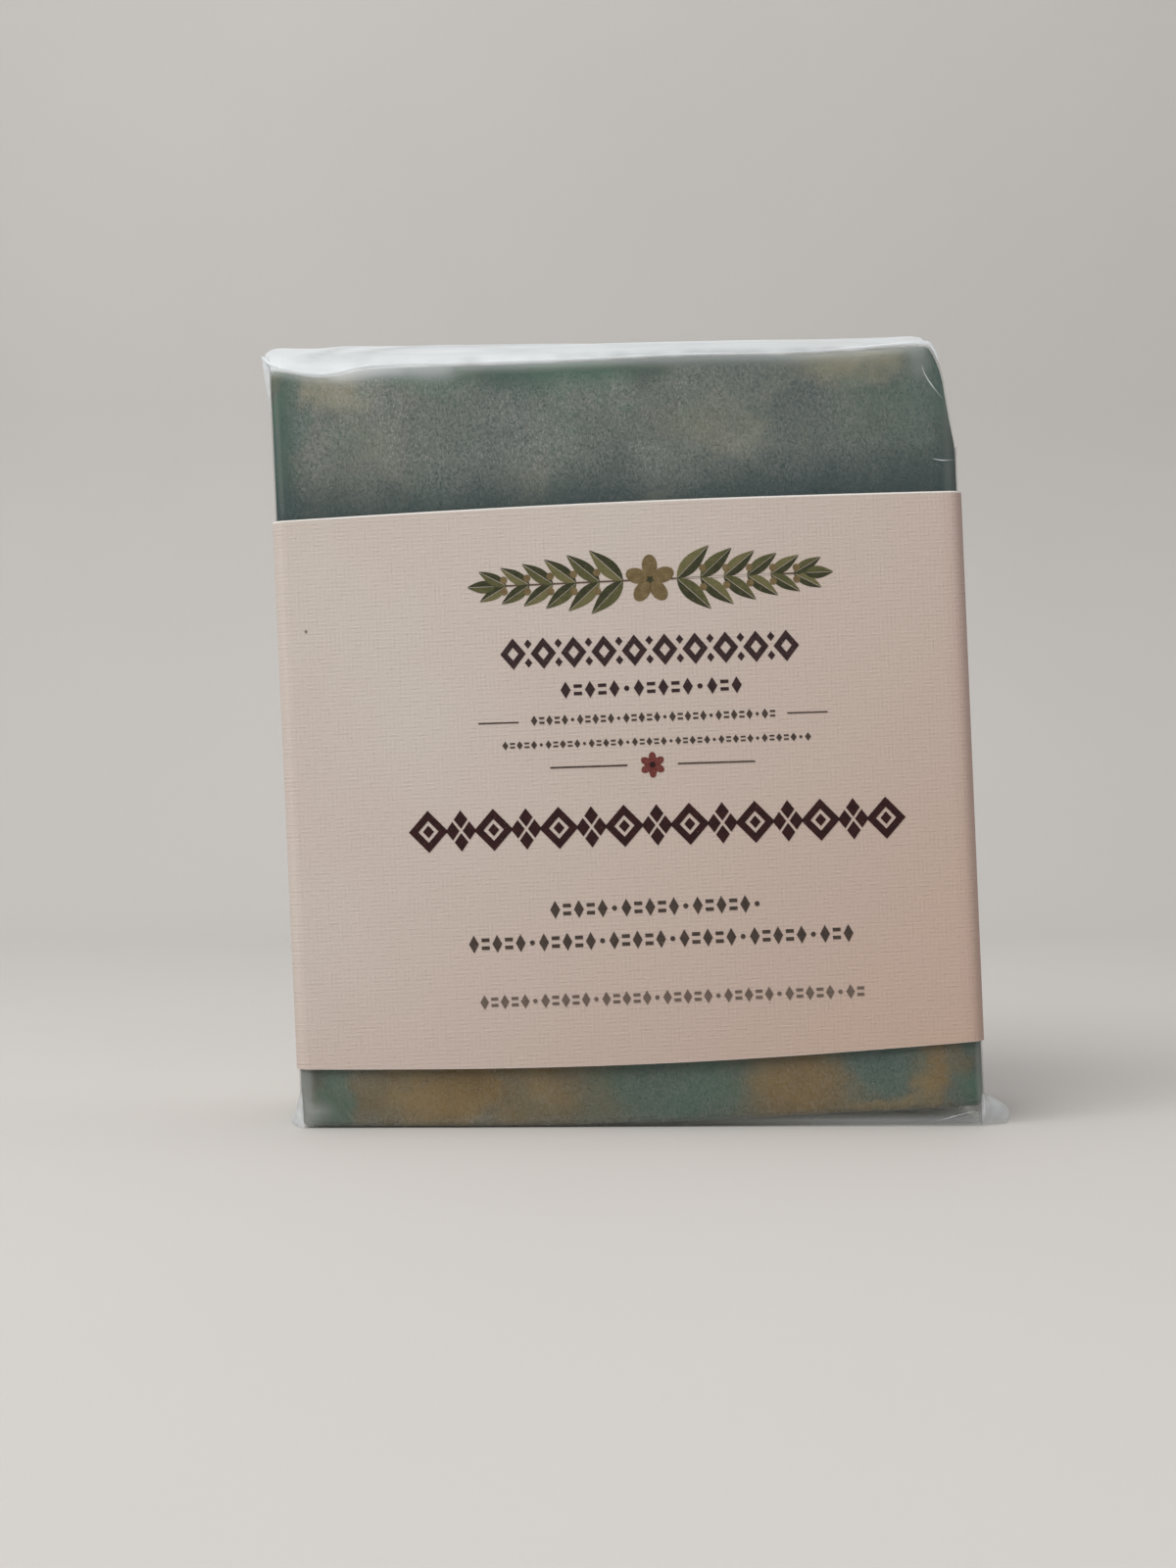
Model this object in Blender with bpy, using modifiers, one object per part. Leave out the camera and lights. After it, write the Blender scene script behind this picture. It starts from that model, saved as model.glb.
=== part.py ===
"""A bar of marbled soap, folded into a sheet of translucent film and held by a linen-paper band.

Everything is modelled in the bar's own frame, with X across its width, Y through its depth and Z up
its height, and hangs on one empty. The empty leans the bar a little to the left, because the film's
folds under its right end are thicker, while the film itself stands flat on the surface.
"""

import math

import bmesh
import bpy
from mathutils import Vector

MM = 0.001

# The soap bar, a slice of a poured loaf.
BAR_WIDTH = 75.2 * MM
BAR_DEPTH = 25 * MM
BAR_HEIGHT = 84.4 * MM  # at its left side
BOTTOM_SLANT = 0.6 * MM  # how much lower the bottom lies at the right side than at the left
BOTTOM_BOW = 0.9 * MM  # how far the bottom swells between them
BAR_EDGE_ROUND = 1.0 * MM
BAR_CORNER_ROUND = 1.6 * MM
WORN_CORNER_WIDE = 4.4 * MM  # the top right corner, a quarter of an ellipse
WORN_CORNER_TALL = 10 * MM
TOP_SAG = 0.7 * MM  # how far the poured top sinks in the middle
TOP_DIP_DEPTH = 0.95 * MM  # a sunken place near its left end
TOP_DIP_X = -32.5 * MM
TOP_DIP_WIDTH = 4 * MM

# How the bar stands.
LEAN = math.radians(2.2)
BAR_LIFT = 1.85 * MM  # from the surface to the middle of the bar's bottom edge

# The film wrap.
FILM = 0.22 * MM
FIT_GAP = 0.25 * MM  # between the bar and the film
SIDE_LAYERS = 0.34 * MM  # the folded film on the bar's left and right faces
FILM_CORNER_ROUND = 1.1 * MM
ROOF_RISE_LEFT = 3.9 * MM  # how far the film stands off the bar's top
ROOF_RISE_RIGHT = 1.5 * MM
SEAM_LAP = 0.1 * MM

# The film's back flap, whose free edge is the wrap's opening.
FLAP_DROP = 11 * MM  # from the bar's top down to the flap's free edge
FLAP_LAP = 6.5 * MM  # how far it laps over the sheet's other end
FLAP_SIDE = 2.5 * MM  # from the bar's left and right faces to the flap's ends
FLAP_GAP = 0.25 * MM

# The paper band.
PAPER = 0.24 * MM
BAND_LOW = 6.3 * MM  # from the bar's bottom to the band's lower edge
BAND_WIDTH = 61.3 * MM  # the width of the strip, which stands upright here
BAND_BULGE = 0.4 * MM  # how far its front stands off in the middle
UPPER_BOW = 0.4 * MM  # how far its edges swell across the front
LOWER_BOW = 0.95 * MM
BAND_GAP = 0.12 * MM
BAND_FOLD_ROUND = 1.4 * MM
BAND_FLARE = 0.1 * MM  # how much looser each side of the band is at its upper edge
BAND_LAP = 16 * MM

# The double-sided tape inside the band's lap.
TAPE = 0.15 * MM
TAPE_WIDTH = 9 * MM
TAPE_GAP = 0.14 * MM
TAPE_MARGIN = 3 * MM  # from the tape's ends to the band's edges

HALF_WIDTH = BAR_WIDTH / 2 + FIT_GAP + SIDE_LAYERS  # of the wrap
HALF_DEPTH = BAR_DEPTH / 2 + FIT_GAP + FILM


def clear_scene():
    for old in list(bpy.data.objects):
        bpy.data.objects.remove(old)


def new_collection(name):
    collection = bpy.data.collections.new(name)
    bpy.context.scene.collection.children.link(collection)
    return collection


def new_material(name, colour, roughness, alpha=1.0):
    material = bpy.data.materials.new(name)
    material.use_nodes = True
    shader = material.node_tree.nodes["Principled BSDF"]
    shader.inputs["Base Color"].default_value = (*colour, 1.0)
    shader.inputs["Roughness"].default_value = roughness
    shader.inputs["Metallic"].default_value = 0.0
    shader.inputs["Alpha"].default_value = alpha
    return material


def place(data, name, collection, parent, material=None):
    """An object of this mesh or curve, in the bar's frame."""
    made = bpy.data.objects.new(name, data)
    made.parent = parent
    if material is not None:
        data.materials.append(material)
    collection.objects.link(made)
    return made


def mesh_of(bm, name):
    """The finished mesh, with its faces turned outwards."""
    bmesh.ops.recalc_face_normals(bm, faces=bm.faces)
    mesh = bpy.data.meshes.new(name)
    bm.to_mesh(mesh)
    bm.free()
    return mesh


def mix(first, second, share):
    return first + (second - first) * share


# The shapes that the pieces share


def bar_top(x, aside=0.0, above=0.0):
    """Height of the bar's top at x, with its worn corner, for an outline grown by aside and above."""
    height = BAR_HEIGHT - TOP_SAG * max(0.0, 1 - (2 * x / BAR_WIDTH) ** 2) - top_dip(x)
    return height + above - (WORN_CORNER_TALL + above) * (1 - corner_share(x, aside))


def top_dip(x):
    return TOP_DIP_DEPTH * math.exp(-(((x - TOP_DIP_X) / TOP_DIP_WIDTH) ** 2))


def bar_bottom(x):
    """Height of the bar's bottom at x."""
    across = x / BAR_WIDTH + 0.5
    return -BOTTOM_SLANT * across - BOTTOM_BOW * math.sin(math.pi * across)


def corner_share(x, aside=0.0):
    """1 up to the start of the worn corner, falling along the ellipse to 0 at the bar's right side."""
    into = x - (BAR_WIDTH / 2 - WORN_CORNER_WIDE)
    if into <= 0:
        return 1.0
    return math.sqrt(max(0.0, 1 - (into / (WORN_CORNER_WIDE + aside)) ** 2))


def floor_height(x):
    """Height, in the bar's frame, of the surface that the wrap stands on."""
    return -(BAR_LIFT + x * math.sin(LEAN)) / math.cos(LEAN)


def arch(share):
    """The roof's rise through the wrap, for a share of its depth from the front: steeper at the front."""
    return math.sin(math.pi * share**0.75)


# The soap bar


def arc(centre, radius, start, end, steps=6):
    """Points on an arc, with its angles in degrees."""
    points = []
    for step in range(steps + 1):
        angle = math.radians(mix(start, end, step / steps))
        points.append((centre[0] + radius * math.cos(angle), centre[1] + radius * math.sin(angle)))
    return points


def bar_outline():
    """The bar seen from the front, anticlockwise: three rounded corners, and the top from right to left."""
    left, right = -BAR_WIDTH / 2, BAR_WIDTH / 2
    inset = BAR_CORNER_ROUND
    points = arc((left + inset, bar_bottom(left + inset) + inset), inset, 180, 270)
    steps = 12
    for step in range(1, steps):
        x = mix(left + inset, right - inset, step / steps)
        points.append((x, bar_bottom(x)))
    points += arc((right - inset, bar_bottom(right - inset) + inset), inset, 270, 360)
    steps = 8
    for step in range(steps):
        x = right - WORN_CORNER_WIDE * (1 - math.cos(math.radians(90 * step / steps)))
        points.append((x, bar_top(x)))
    steps = 14
    for step in range(steps + 1):
        x = mix(right - WORN_CORNER_WIDE, left + inset, step / steps)
        points.append((x, bar_top(x)))
    points += arc((left + inset, bar_top(left + inset) - inset), inset, 90, 180)[1:]
    return points


def soap_bar(collection, parent):
    """The outline as a flat curve, thickened with round edges and stood upright."""
    curve = bpy.data.curves.new("soap_bar", "CURVE")
    curve.dimensions = "2D"
    curve.fill_mode = "BOTH"
    curve.extrude = BAR_DEPTH / 2 - BAR_EDGE_ROUND
    curve.bevel_depth = BAR_EDGE_ROUND
    curve.bevel_resolution = 2
    curve.offset = -BAR_EDGE_ROUND
    outline = bar_outline()
    spline = curve.splines.new("POLY")
    spline.points.add(len(outline) - 1)
    for point, (x, z) in zip(spline.points, outline):
        point.co = (x, z, 0, 1)
    spline.use_cyclic_u = True
    soap = new_material("marbled_soap", (0.28, 0.40, 0.37), 0.5)
    made = place(curve, "soap_bar", collection, parent, soap)
    made.rotation_euler = (math.pi / 2, 0, 0)
    return made


# The film wrap


def wrap_section(x, side, inner):
    """The wrap cut across at x, as points in Y and Z: the bottom, the back, the arched roof and the front.

    side is the half width of the form and inner how far it lies inside the film's outer face. Near the
    form's ends every section shrinks, which rounds the upright edges.
    """
    from_end = side - abs(x)
    shrink = inner
    if from_end < FILM_CORNER_ROUND:
        shrink += FILM_CORNER_ROUND - math.sqrt(from_end * (2 * FILM_CORNER_ROUND - from_end))
    aside = side - BAR_WIDTH / 2
    shoulder = bar_top(x, aside, FIT_GAP + FILM) - shrink
    across = min(max(x / (2 * side) + 0.5, 0.0), 1.0)
    rise = mix(ROOF_RISE_LEFT, ROOF_RISE_RIGHT, across**2) * corner_share(x, aside) + top_dip(x)
    depth = HALF_DEPTH - shrink
    low = floor_height(x) + shrink
    corners = [(-depth, low), (depth, low), (depth, shoulder)]
    for share in (0.88, 0.76, 0.64, 0.52, 0.4, 0.28, 0.16, 0.07):
        corners.append((depth * (2 * share - 1), shoulder + rise * arch(share)))
    corners.append((-depth, shoulder))
    rounds = {0: 1.1 * MM, 1: 1.1 * MM, 2: 0.6 * MM, len(corners) - 1: 0.5 * MM}
    points = []
    for index, corner in enumerate(corners):
        if index not in rounds:
            points.append(corner)
            continue
        before = towards(corner, corners[index - 1], rounds[index])
        after = towards(corner, corners[(index + 1) % len(corners)], rounds[index])
        for t in (0, 0.33, 0.67, 1):
            points.append(
                tuple((1 - t) ** 2 * a + 2 * t * (1 - t) * c + t * t * b for a, c, b in zip(before, corner, after))
            )
    return points


def towards(start, goal, distance):
    length = math.dist(start, goal)
    return tuple(mix(a, b, distance / length) for a, b in zip(start, goal))


def wrap_form(name, side, inner):
    """The wrap's closed form, lofted over its sections from the left end to the right one."""
    round_off = (0, 0.07, 0.25, 0.6, 1.1)
    stations = [-side + step * MM for step in round_off]
    stations += [-side + step * MM for step in (4, 7, 10, 14, 20, 28)]
    stations += [-3 * MM, 8 * MM, 19 * MM, 28 * MM]
    stations += [side - step * MM for step in (4.4, 3.4, 2.4, 1.7)]
    stations += [side - step * MM for step in reversed(round_off)]
    bm = bmesh.new()
    rows = [[bm.verts.new((x, y, z)) for y, z in wrap_section(x, side, inner)] for x in stations]
    for row, following in zip(rows, rows[1:]):
        for index in range(len(row)):
            ahead = (index + 1) % len(row)
            bm.faces.new((row[index], row[ahead], following[ahead], following[index]))
    bm.faces.new(rows[0])
    bm.faces.new(rows[-1])
    return mesh_of(bm, name)


def hull(name, points):
    """The closed form that stretches over these points."""
    bm = bmesh.new()
    for point in points:
        bm.verts.new(point)
    found = bmesh.ops.convex_hull(bm, input=bm.verts)
    inner = {part for part in found["geom_interior"] if isinstance(part, bmesh.types.BMVert)}
    bmesh.ops.delete(bm, geom=list(inner), context="VERTS")
    return mesh_of(bm, name)


def slab(name, low, high):
    """A plain box between two corners."""
    bm = bmesh.new()
    bmesh.ops.create_cube(bm, size=1)
    low, high = Vector(low), Vector(high)
    for vert in bm.verts:
        share = vert.co + Vector((0.5, 0.5, 0.5))
        vert.co = [mix(low[i], high[i], share[i]) for i in range(3)]
    return mesh_of(bm, name)


def corner_ear(side, end, root, run, reach, tip):
    """The point of a pleat that sticks out at a front or back corner of the wrap.

    side is -1 for left and 1 for right, end is -1 for the front corner and 1 for the back one. root holds
    the heights of its lower edge, of its upper edge at the corner, and of the same edge where it runs out
    along the side face. tip holds the heights between which its rounded tip lies.
    """
    face = side * HALF_WIDTH
    inside = face - side * 0.28 * MM
    edge = end * (HALF_DEPTH - 0.5 * MM)
    away = edge - end * run
    low, high, far_high = root
    points = [(inside, edge, low), (inside, edge, high), (inside, away, low), (inside, away, far_high)]
    steps = 6
    for step in range(steps + 1):
        angle = math.pi * step / steps
        out = reach * (0.7 + 0.3 * math.sin(angle))
        y = edge - end * run * mix(0.1, 0.3, step / steps)
        points.append((face + side * out, y, mix(tip[0], tip[1], (1 - math.cos(angle)) / 2)))
    return points


def wrap_ears():
    """The corners where a pleat shows, each with its points."""
    top_left = bar_top(-BAR_WIDTH / 2)
    low_left = floor_height(-HALF_WIDTH - 1 * MM)
    low_right = floor_height(HALF_WIDTH + 3 * MM)
    ears = {}
    for end, part, share in ((-1, "front", 1.0), (1, "back", 0.7)):
        ears[f"ear_top_left_{part}"] = corner_ear(
            -1,
            end,
            (top_left - 3 * MM, top_left + 0.6 * MM, top_left + (3.9 if end < 0 else 2.4) * MM),
            8 * MM,
            1.35 * MM * share,
            (top_left + 1.7 * MM, top_left + 2.8 * MM),
        )
        ears[f"ear_low_left_{part}"] = corner_ear(
            -1,
            end,
            (low_left + 0.15 * MM, low_left + 4.4 * MM, low_left + 3 * MM),
            8 * MM,
            1.2 * MM * share,
            (low_left + 0.1 * MM, low_left + 1.1 * MM),
        )
        ears[f"ear_low_right_{part}"] = corner_ear(
            1,
            end,
            (low_right + 0.25 * MM, low_right + 3.3 * MM, low_right + 2.4 * MM),
            10 * MM,
            3.1 * MM * share,
            (low_right + 0.1 * MM, low_right + 1.8 * MM),
        )
    return ears


def pleat_cutters(side):
    """What the folds leave lower on a side face: the V under the roof, the V over the bottom and the front wing.

    Each is a flat outline in Y and Z that reaches into the face by the thickness of a layer.
    """
    face = side * HALF_WIDTH
    top = bar_top(side * BAR_WIDTH / 2) + (2.5 * MM if side < 0 else -0.5 * MM)
    low = floor_height(face)
    near = HALF_DEPTH - 0.9 * MM
    deep = 1.4 * HALF_DEPTH
    outlines = {
        "roof_fold": [(-near, top), (0, top - deep), (near, top)],
        "floor_fold": [(-near, low + 0.6 * MM), (near, low + 0.6 * MM), (0, low + 0.6 * MM + deep)],
        "front_wing": [
            (-near, low + 2 * MM),
            (1.5 * MM, low + 2 * MM + 0.6 * deep),
            (1.5 * MM, top - 2 * MM - 0.6 * deep),
            (-near, top - 2 * MM),
        ],
    }
    depths = {"roof_fold": 0.16 * MM, "floor_fold": 0.16 * MM, "front_wing": 0.08 * MM}
    cutters = []
    for part, outline in outlines.items():
        points = []
        for y, z in outline:
            points.append((face - side * depths[part], y, z))
            points.append((face + side * 1 * MM, y, z))
        cutters.append(hull(f"cut_{part}_{'left' if side < 0 else 'right'}", points))
    return cutters


def back_flap():
    """The sheet's outer end, lying over the back below the roof."""
    top = BAR_HEIGHT - 0.5 * MM
    reach = HALF_WIDTH - FLAP_SIDE
    low = (-reach, HALF_DEPTH - SEAM_LAP, BAR_HEIGHT - FLAP_DROP)
    high = (reach, HALF_DEPTH + FLAP_GAP + FILM, top)
    return slab("back_flap", low, high)


def flap_slots():
    """The gap under the back flap, and the slit over the inner end of the sheet, where the wrap opens."""
    reach = HALF_WIDTH - FLAP_SIDE
    edge = BAR_HEIGHT - FLAP_DROP
    inner_end = edge + FLAP_LAP
    under = slab(
        "cut_under_flap",
        (-reach - 1 * MM, HALF_DEPTH, edge - 1 * MM),
        (reach + 1 * MM, HALF_DEPTH + FLAP_GAP, inner_end),
    )
    slit = slab(
        "cut_slit",
        (-reach + 1 * MM, HALF_DEPTH - 0.6 * MM, inner_end - FLAP_GAP),
        (reach - 1 * MM, HALF_DEPTH + 0.1 * MM, inner_end),
    )
    return [under, slit]


def film_wrap(collection, helpers, parent):
    """The sheet folded round the bar: hollowed, stepped where it folds, then its ears and its flap with the slit."""
    film = new_material("frosted_film", (0.86, 0.88, 0.88), 0.35, alpha=0.5)
    made = place(wrap_form("film_wrap", HALF_WIDTH, 0), "film_wrap", collection, parent, film)
    hollow = wrap_form("film_hollow", HALF_WIDTH - SIDE_LAYERS, FILM)
    ears = [hull(name, points) for name, points in wrap_ears().items()]
    steps = (
        ("hollow_and_folds", "DIFFERENCE", [hollow] + pleat_cutters(-1) + pleat_cutters(1)),
        ("ears_and_flap", "UNION", ears + [back_flap()]),
        ("opening", "DIFFERENCE", flap_slots()),
    )
    for name, operation, meshes in steps:
        group = bpy.data.collections.new(name)
        helpers.children.link(group)
        for mesh in meshes:
            helper = place(mesh, mesh.name, group, parent)
            helper.hide_render = True
            helper.display_type = "WIRE"
        modifier = made.modifiers.new(name, "BOOLEAN")
        modifier.operation = operation
        modifier.operand_type = "COLLECTION"
        modifier.collection = group
        modifier.solver = "EXACT"
    return made


# The paper band and its tape


def band_path():
    """The strip's line seen from above, from its inner end at the back round the front to its outer end."""
    half_x = HALF_WIDTH + BAND_GAP
    half_y = HALF_DEPTH + BAND_GAP
    fold = BAND_FOLD_ROUND
    step = PAPER + TAPE + 2 * TAPE_GAP
    points = [(BAND_LAP / 2, half_y)]
    for side, end, start in ((-1, 1, 90), (-1, -1, 180), (1, -1, 270), (1, 1, 0)):
        centre = (side * (half_x - fold), end * (half_y - fold))
        points += arc(centre, fold, start, start + 90, steps=5)
        if end < 0 and side < 0:
            for share in (0.06, 0.12, 0.2, 0.3, 0.4, 0.5, 0.6, 0.7, 0.8, 0.88, 0.94):
                x = mix(-half_x + fold, half_x - fold, share)
                points.append((x, -half_y - BAND_BULGE * math.sin(math.pi * share)))
    outer_start = BAND_LAP / 2 + 1.5 * MM
    points.append((outer_start + 6 * MM, half_y))
    for share in (0.25, 0.5, 0.75, 1.0):
        rise = step * (3 * share**2 - 2 * share**3)
        points.append((outer_start + 6 * MM * (1 - share), half_y + rise))
    points.append((-BAND_LAP / 2, half_y + step))
    return points


def front_swell(x, y):
    """From 0 at the band's folds to 1 in the middle of its front."""
    if y > -HALF_DEPTH:
        return 0.0
    return math.sin(math.pi * min(max(x / (2 * HALF_WIDTH) + 0.5, 0.0), 1.0))


def paper_band(collection, parent):
    """The strip drawn up from its line, looser towards its upper edge, and thickened outwards."""
    bm = bmesh.new()
    path = band_path()
    lower = [bm.verts.new((x, y, BAND_LOW - LOWER_BOW * front_swell(x, y))) for x, y in path]
    top = BAND_LOW + BAND_WIDTH
    upper = []
    for x, y in path:
        flare = math.copysign(BAND_FLARE, x) if abs(x) > BAR_WIDTH / 4 else 0.0
        upper.append(bm.verts.new((x + flare, y, top + UPPER_BOW * front_swell(x, y))))
    for index in range(len(path) - 1):
        bm.faces.new((lower[index], lower[index + 1], upper[index + 1], upper[index]))
    mesh = mesh_of(bm, "paper_band")
    linen_paper = new_material("linen_paper", (0.72, 0.62, 0.54), 0.8)
    made = place(mesh, "paper_band", collection, parent, linen_paper)
    thicken = made.modifiers.new("thickness", "SOLIDIFY")
    thicken.thickness = PAPER
    thicken.offset = 1 if faces_out(mesh) else -1
    thicken.use_even_offset = True
    return made


def faces_out(mesh):
    """True if the strip's front face looks towards the front."""
    front = min(mesh.polygons, key=lambda face: face.center.y)
    return front.normal.y < 0


def band_tape(collection, parent):
    """The tape between the two ends of the strip."""
    low_y = HALF_DEPTH + BAND_GAP + PAPER + TAPE_GAP
    low = (-TAPE_WIDTH / 2, low_y, BAND_LOW + TAPE_MARGIN)
    high = (TAPE_WIDTH / 2, low_y + TAPE, BAND_LOW + BAND_WIDTH - TAPE_MARGIN)
    tape = new_material("tape", (0.85, 0.82, 0.70), 0.4)
    return place(slab("band_tape", low, high), "band_tape", collection, parent, tape)


def stand_on_origin(collection, root):
    """Moves the whole part so that its bounding box stands centred on the origin."""
    bpy.context.view_layer.update()
    graph = bpy.context.evaluated_depsgraph_get()
    corners = []
    for piece in collection.objects:
        if piece.type == "EMPTY":
            continue
        shaped = piece.evaluated_get(graph)
        mesh = shaped.to_mesh()
        corners += [shaped.matrix_world @ vert.co for vert in mesh.vertices]
        shaped.to_mesh_clear()
    low = Vector(min(corner[i] for corner in corners) for i in range(3))
    high = Vector(max(corner[i] for corner in corners) for i in range(3))
    root.location -= Vector(((low.x + high.x) / 2, (low.y + high.y) / 2, low.z))


def main():
    clear_scene()
    parts = new_collection("wrapped_soap_bar")
    helpers = new_collection("helpers")
    root = bpy.data.objects.new("bar_frame", None)
    root.location = (0, 0, BAR_LIFT)
    root.rotation_euler = (0, -LEAN, 0)
    parts.objects.link(root)
    soap_bar(parts, root)
    film_wrap(parts, helpers, root)
    paper_band(parts, root)
    band_tape(parts, root)
    stand_on_origin(parts, root)


main()
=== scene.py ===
"""Looks of a bar of marbled soap in a frosted film wrap with a linen-paper band.

The soap, the band and the wrap keep the CAD's places. The wrap and the band are drawn again as finer
sheets over their solids, and the print is a set of thin shapes lying on the band.
"""

import math

import bpy
from mathutils import Matrix, Vector, noise


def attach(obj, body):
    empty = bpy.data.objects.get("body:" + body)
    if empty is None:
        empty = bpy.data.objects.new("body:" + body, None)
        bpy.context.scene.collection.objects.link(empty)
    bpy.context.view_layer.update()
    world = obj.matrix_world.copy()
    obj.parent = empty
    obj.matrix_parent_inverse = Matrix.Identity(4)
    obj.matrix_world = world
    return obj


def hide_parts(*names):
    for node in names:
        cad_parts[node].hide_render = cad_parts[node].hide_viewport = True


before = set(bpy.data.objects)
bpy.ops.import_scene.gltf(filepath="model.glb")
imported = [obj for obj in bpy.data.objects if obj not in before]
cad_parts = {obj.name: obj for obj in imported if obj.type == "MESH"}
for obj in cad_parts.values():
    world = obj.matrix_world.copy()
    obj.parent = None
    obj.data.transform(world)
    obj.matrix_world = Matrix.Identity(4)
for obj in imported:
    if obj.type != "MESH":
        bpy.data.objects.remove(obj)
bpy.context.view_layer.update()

MM = 0.001

# The bar's own frame, as the CAD model has it.
ROOT = Vector((0.7375, -0.135, 1.85)) * MM
LEAN = math.radians(2.2)
TO_ROW = Matrix.Translation(ROOT) @ Matrix.Rotation(-LEAN, 4, "Y")

BAR_WIDTH = 75.2 * MM
BAR_DEPTH = 25 * MM
BAR_HEIGHT = 84.4 * MM
BOTTOM_SLANT = 0.6 * MM
BOTTOM_BOW = 0.9 * MM
WORN_CORNER_WIDE = 4.4 * MM
WORN_CORNER_TALL = 10 * MM
TOP_SAG = 0.7 * MM
TOP_DIP_DEPTH = 0.95 * MM
TOP_DIP_X = -32.5 * MM
TOP_DIP_WIDTH = 4 * MM
FRONT_DROOP = 0.6 * MM  # how much lower the top's front edge lies towards the right

FILM = 0.22 * MM
FIT_GAP = 0.25 * MM
SIDE_LAYERS = 0.34 * MM
FILM_CORNER_ROUND = 1.1 * MM
FILM_LOW_ROUND = 0.8 * MM
FILM_BACK_ROUND = 0.6 * MM
FILM_FRONT_ROUND = 0.35 * MM
ROOF_RISE_LEFT = 3.9 * MM
ROOF_RISE_RIGHT = 1.5 * MM
FLAP_SIDE = 2.5 * MM
FLAP_DROP = 11 * MM
WRAP_ASIDE = FIT_GAP + SIDE_LAYERS  # from the bar's side faces to the wrap's outer face
HALF_WIDTH = BAR_WIDTH / 2 + WRAP_ASIDE
HALF_DEPTH = BAR_DEPTH / 2 + FIT_GAP + FILM

PAPER = 0.24 * MM
TAPE = 0.15 * MM
TAPE_GAP = 0.14 * MM
BAND_LOW = 6.3 * MM
BAND_HEIGHT = 61.3 * MM
BAND_BULGE = 0.4 * MM
UPPER_BOW = 0.4 * MM
LOWER_BOW = 0.95 * MM
BAND_GAP = 0.12 * MM
BAND_FLARE = 0.1 * MM
BAND_LAP = 16 * MM
LAP_STEP = PAPER + TAPE + 2 * TAPE_GAP
BAND_HALF_X = HALF_WIDTH + BAND_GAP + PAPER
BAND_HALF_Y = HALF_DEPTH + BAND_GAP + PAPER
BAND_FOLD = 1.4 * MM + PAPER  # outer radius at its four folds

PRINT_SLOPE = -0.012  # how the rows of print fall towards the right


def mix(first, second, share):
    return first + (second - first) * share


def clamp(value):
    return min(max(value, 0.0), 1.0)


def smooth(low, high, value):
    """0 below low, 1 above high and a smooth step between them."""
    share = clamp((value - low) / (high - low))
    return share * share * (3 - 2 * share)


def waver(x, y, z):
    """Smooth noise from -1 to 1."""
    return noise.noise(Vector((x, y, z)))


# Shapes shared with the CAD model


def top_dip(x):
    return TOP_DIP_DEPTH * math.exp(-(((x - TOP_DIP_X) / TOP_DIP_WIDTH) ** 2))


# The worn corner's outline: how far in, as a share of its width, and how far down, as a share of its height.
WORN = (
    (0.0, 0.0), (0.22, 0.004), (0.4, 0.022), (0.5, 0.06), (0.58, 0.13), (0.66, 0.23), (0.73, 0.33),
    (0.78, 0.44), (0.81, 0.56), (0.85, 0.71), (0.9, 0.87), (0.95, 0.99), (1.0, 1.08),
)


def corner_drop(x, aside=0.0):
    into = (x - (BAR_WIDTH / 2 - WORN_CORNER_WIDE)) / (WORN_CORNER_WIDE + aside)
    if into <= 0:
        return 0.0
    for (x0, d0), (x1, d1) in zip(WORN, WORN[1:]):
        if into <= x1:
            return mix(d0, d1, (into - x0) / (x1 - x0))
    return WORN[-1][1]


def droop(x):
    return FRONT_DROOP * smooth(6 * MM, 24 * MM, x) * smooth(37 * MM, 34 * MM, x)


def bar_top(x, aside=0.0, above=0.0):
    """Height of the bar's top at x, for an outline grown by aside and above."""
    height = BAR_HEIGHT - TOP_SAG * max(0.0, 1 - (2 * x / BAR_WIDTH) ** 2) - top_dip(x)
    return height + above - (WORN_CORNER_TALL + above) * corner_drop(x, aside)


def front_edge(x):
    """Height of the wrap's crease along the front's top."""
    return bar_top(x, WRAP_ASIDE, FIT_GAP + FILM) - droop(x)


def soap_floor(x):
    """Height of the soap's underside, a little below the solid's and more so at the right."""
    across = x / BAR_WIDTH + 0.5
    bottom = -BOTTOM_SLANT * across - BOTTOM_BOW * math.sin(math.pi * clamp(across))
    return bottom - 0.2 * MM - 0.2 * MM * smooth(18 * MM, 37 * MM, x)


def floor_height(x):
    return -(ROOT.z + x * math.sin(LEAN)) / math.cos(LEAN)


def arch(share):
    return math.sin(math.pi * max(share, 0.0) ** 0.75)


def stations(half, count, insets):
    """Places along x from -half to half, with more of them at the worn corner and at insets from the ends."""
    places = [-half + 2 * half * i / count for i in range(count + 1)]
    places += [(33.3 + 0.1 * i) * MM for i in range(47)]
    for inset in insets:
        places += [-half + inset * MM, half - inset * MM]
    return sorted(places)


# Node materials


SOCKETS = {
    "colour": "Base Color",
    "roughness": "Roughness",
    "normal": "Normal",
    "alpha": "Alpha",
    "specular": "Specular IOR Level",
    "sheen": "Sheen Weight",
}


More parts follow.
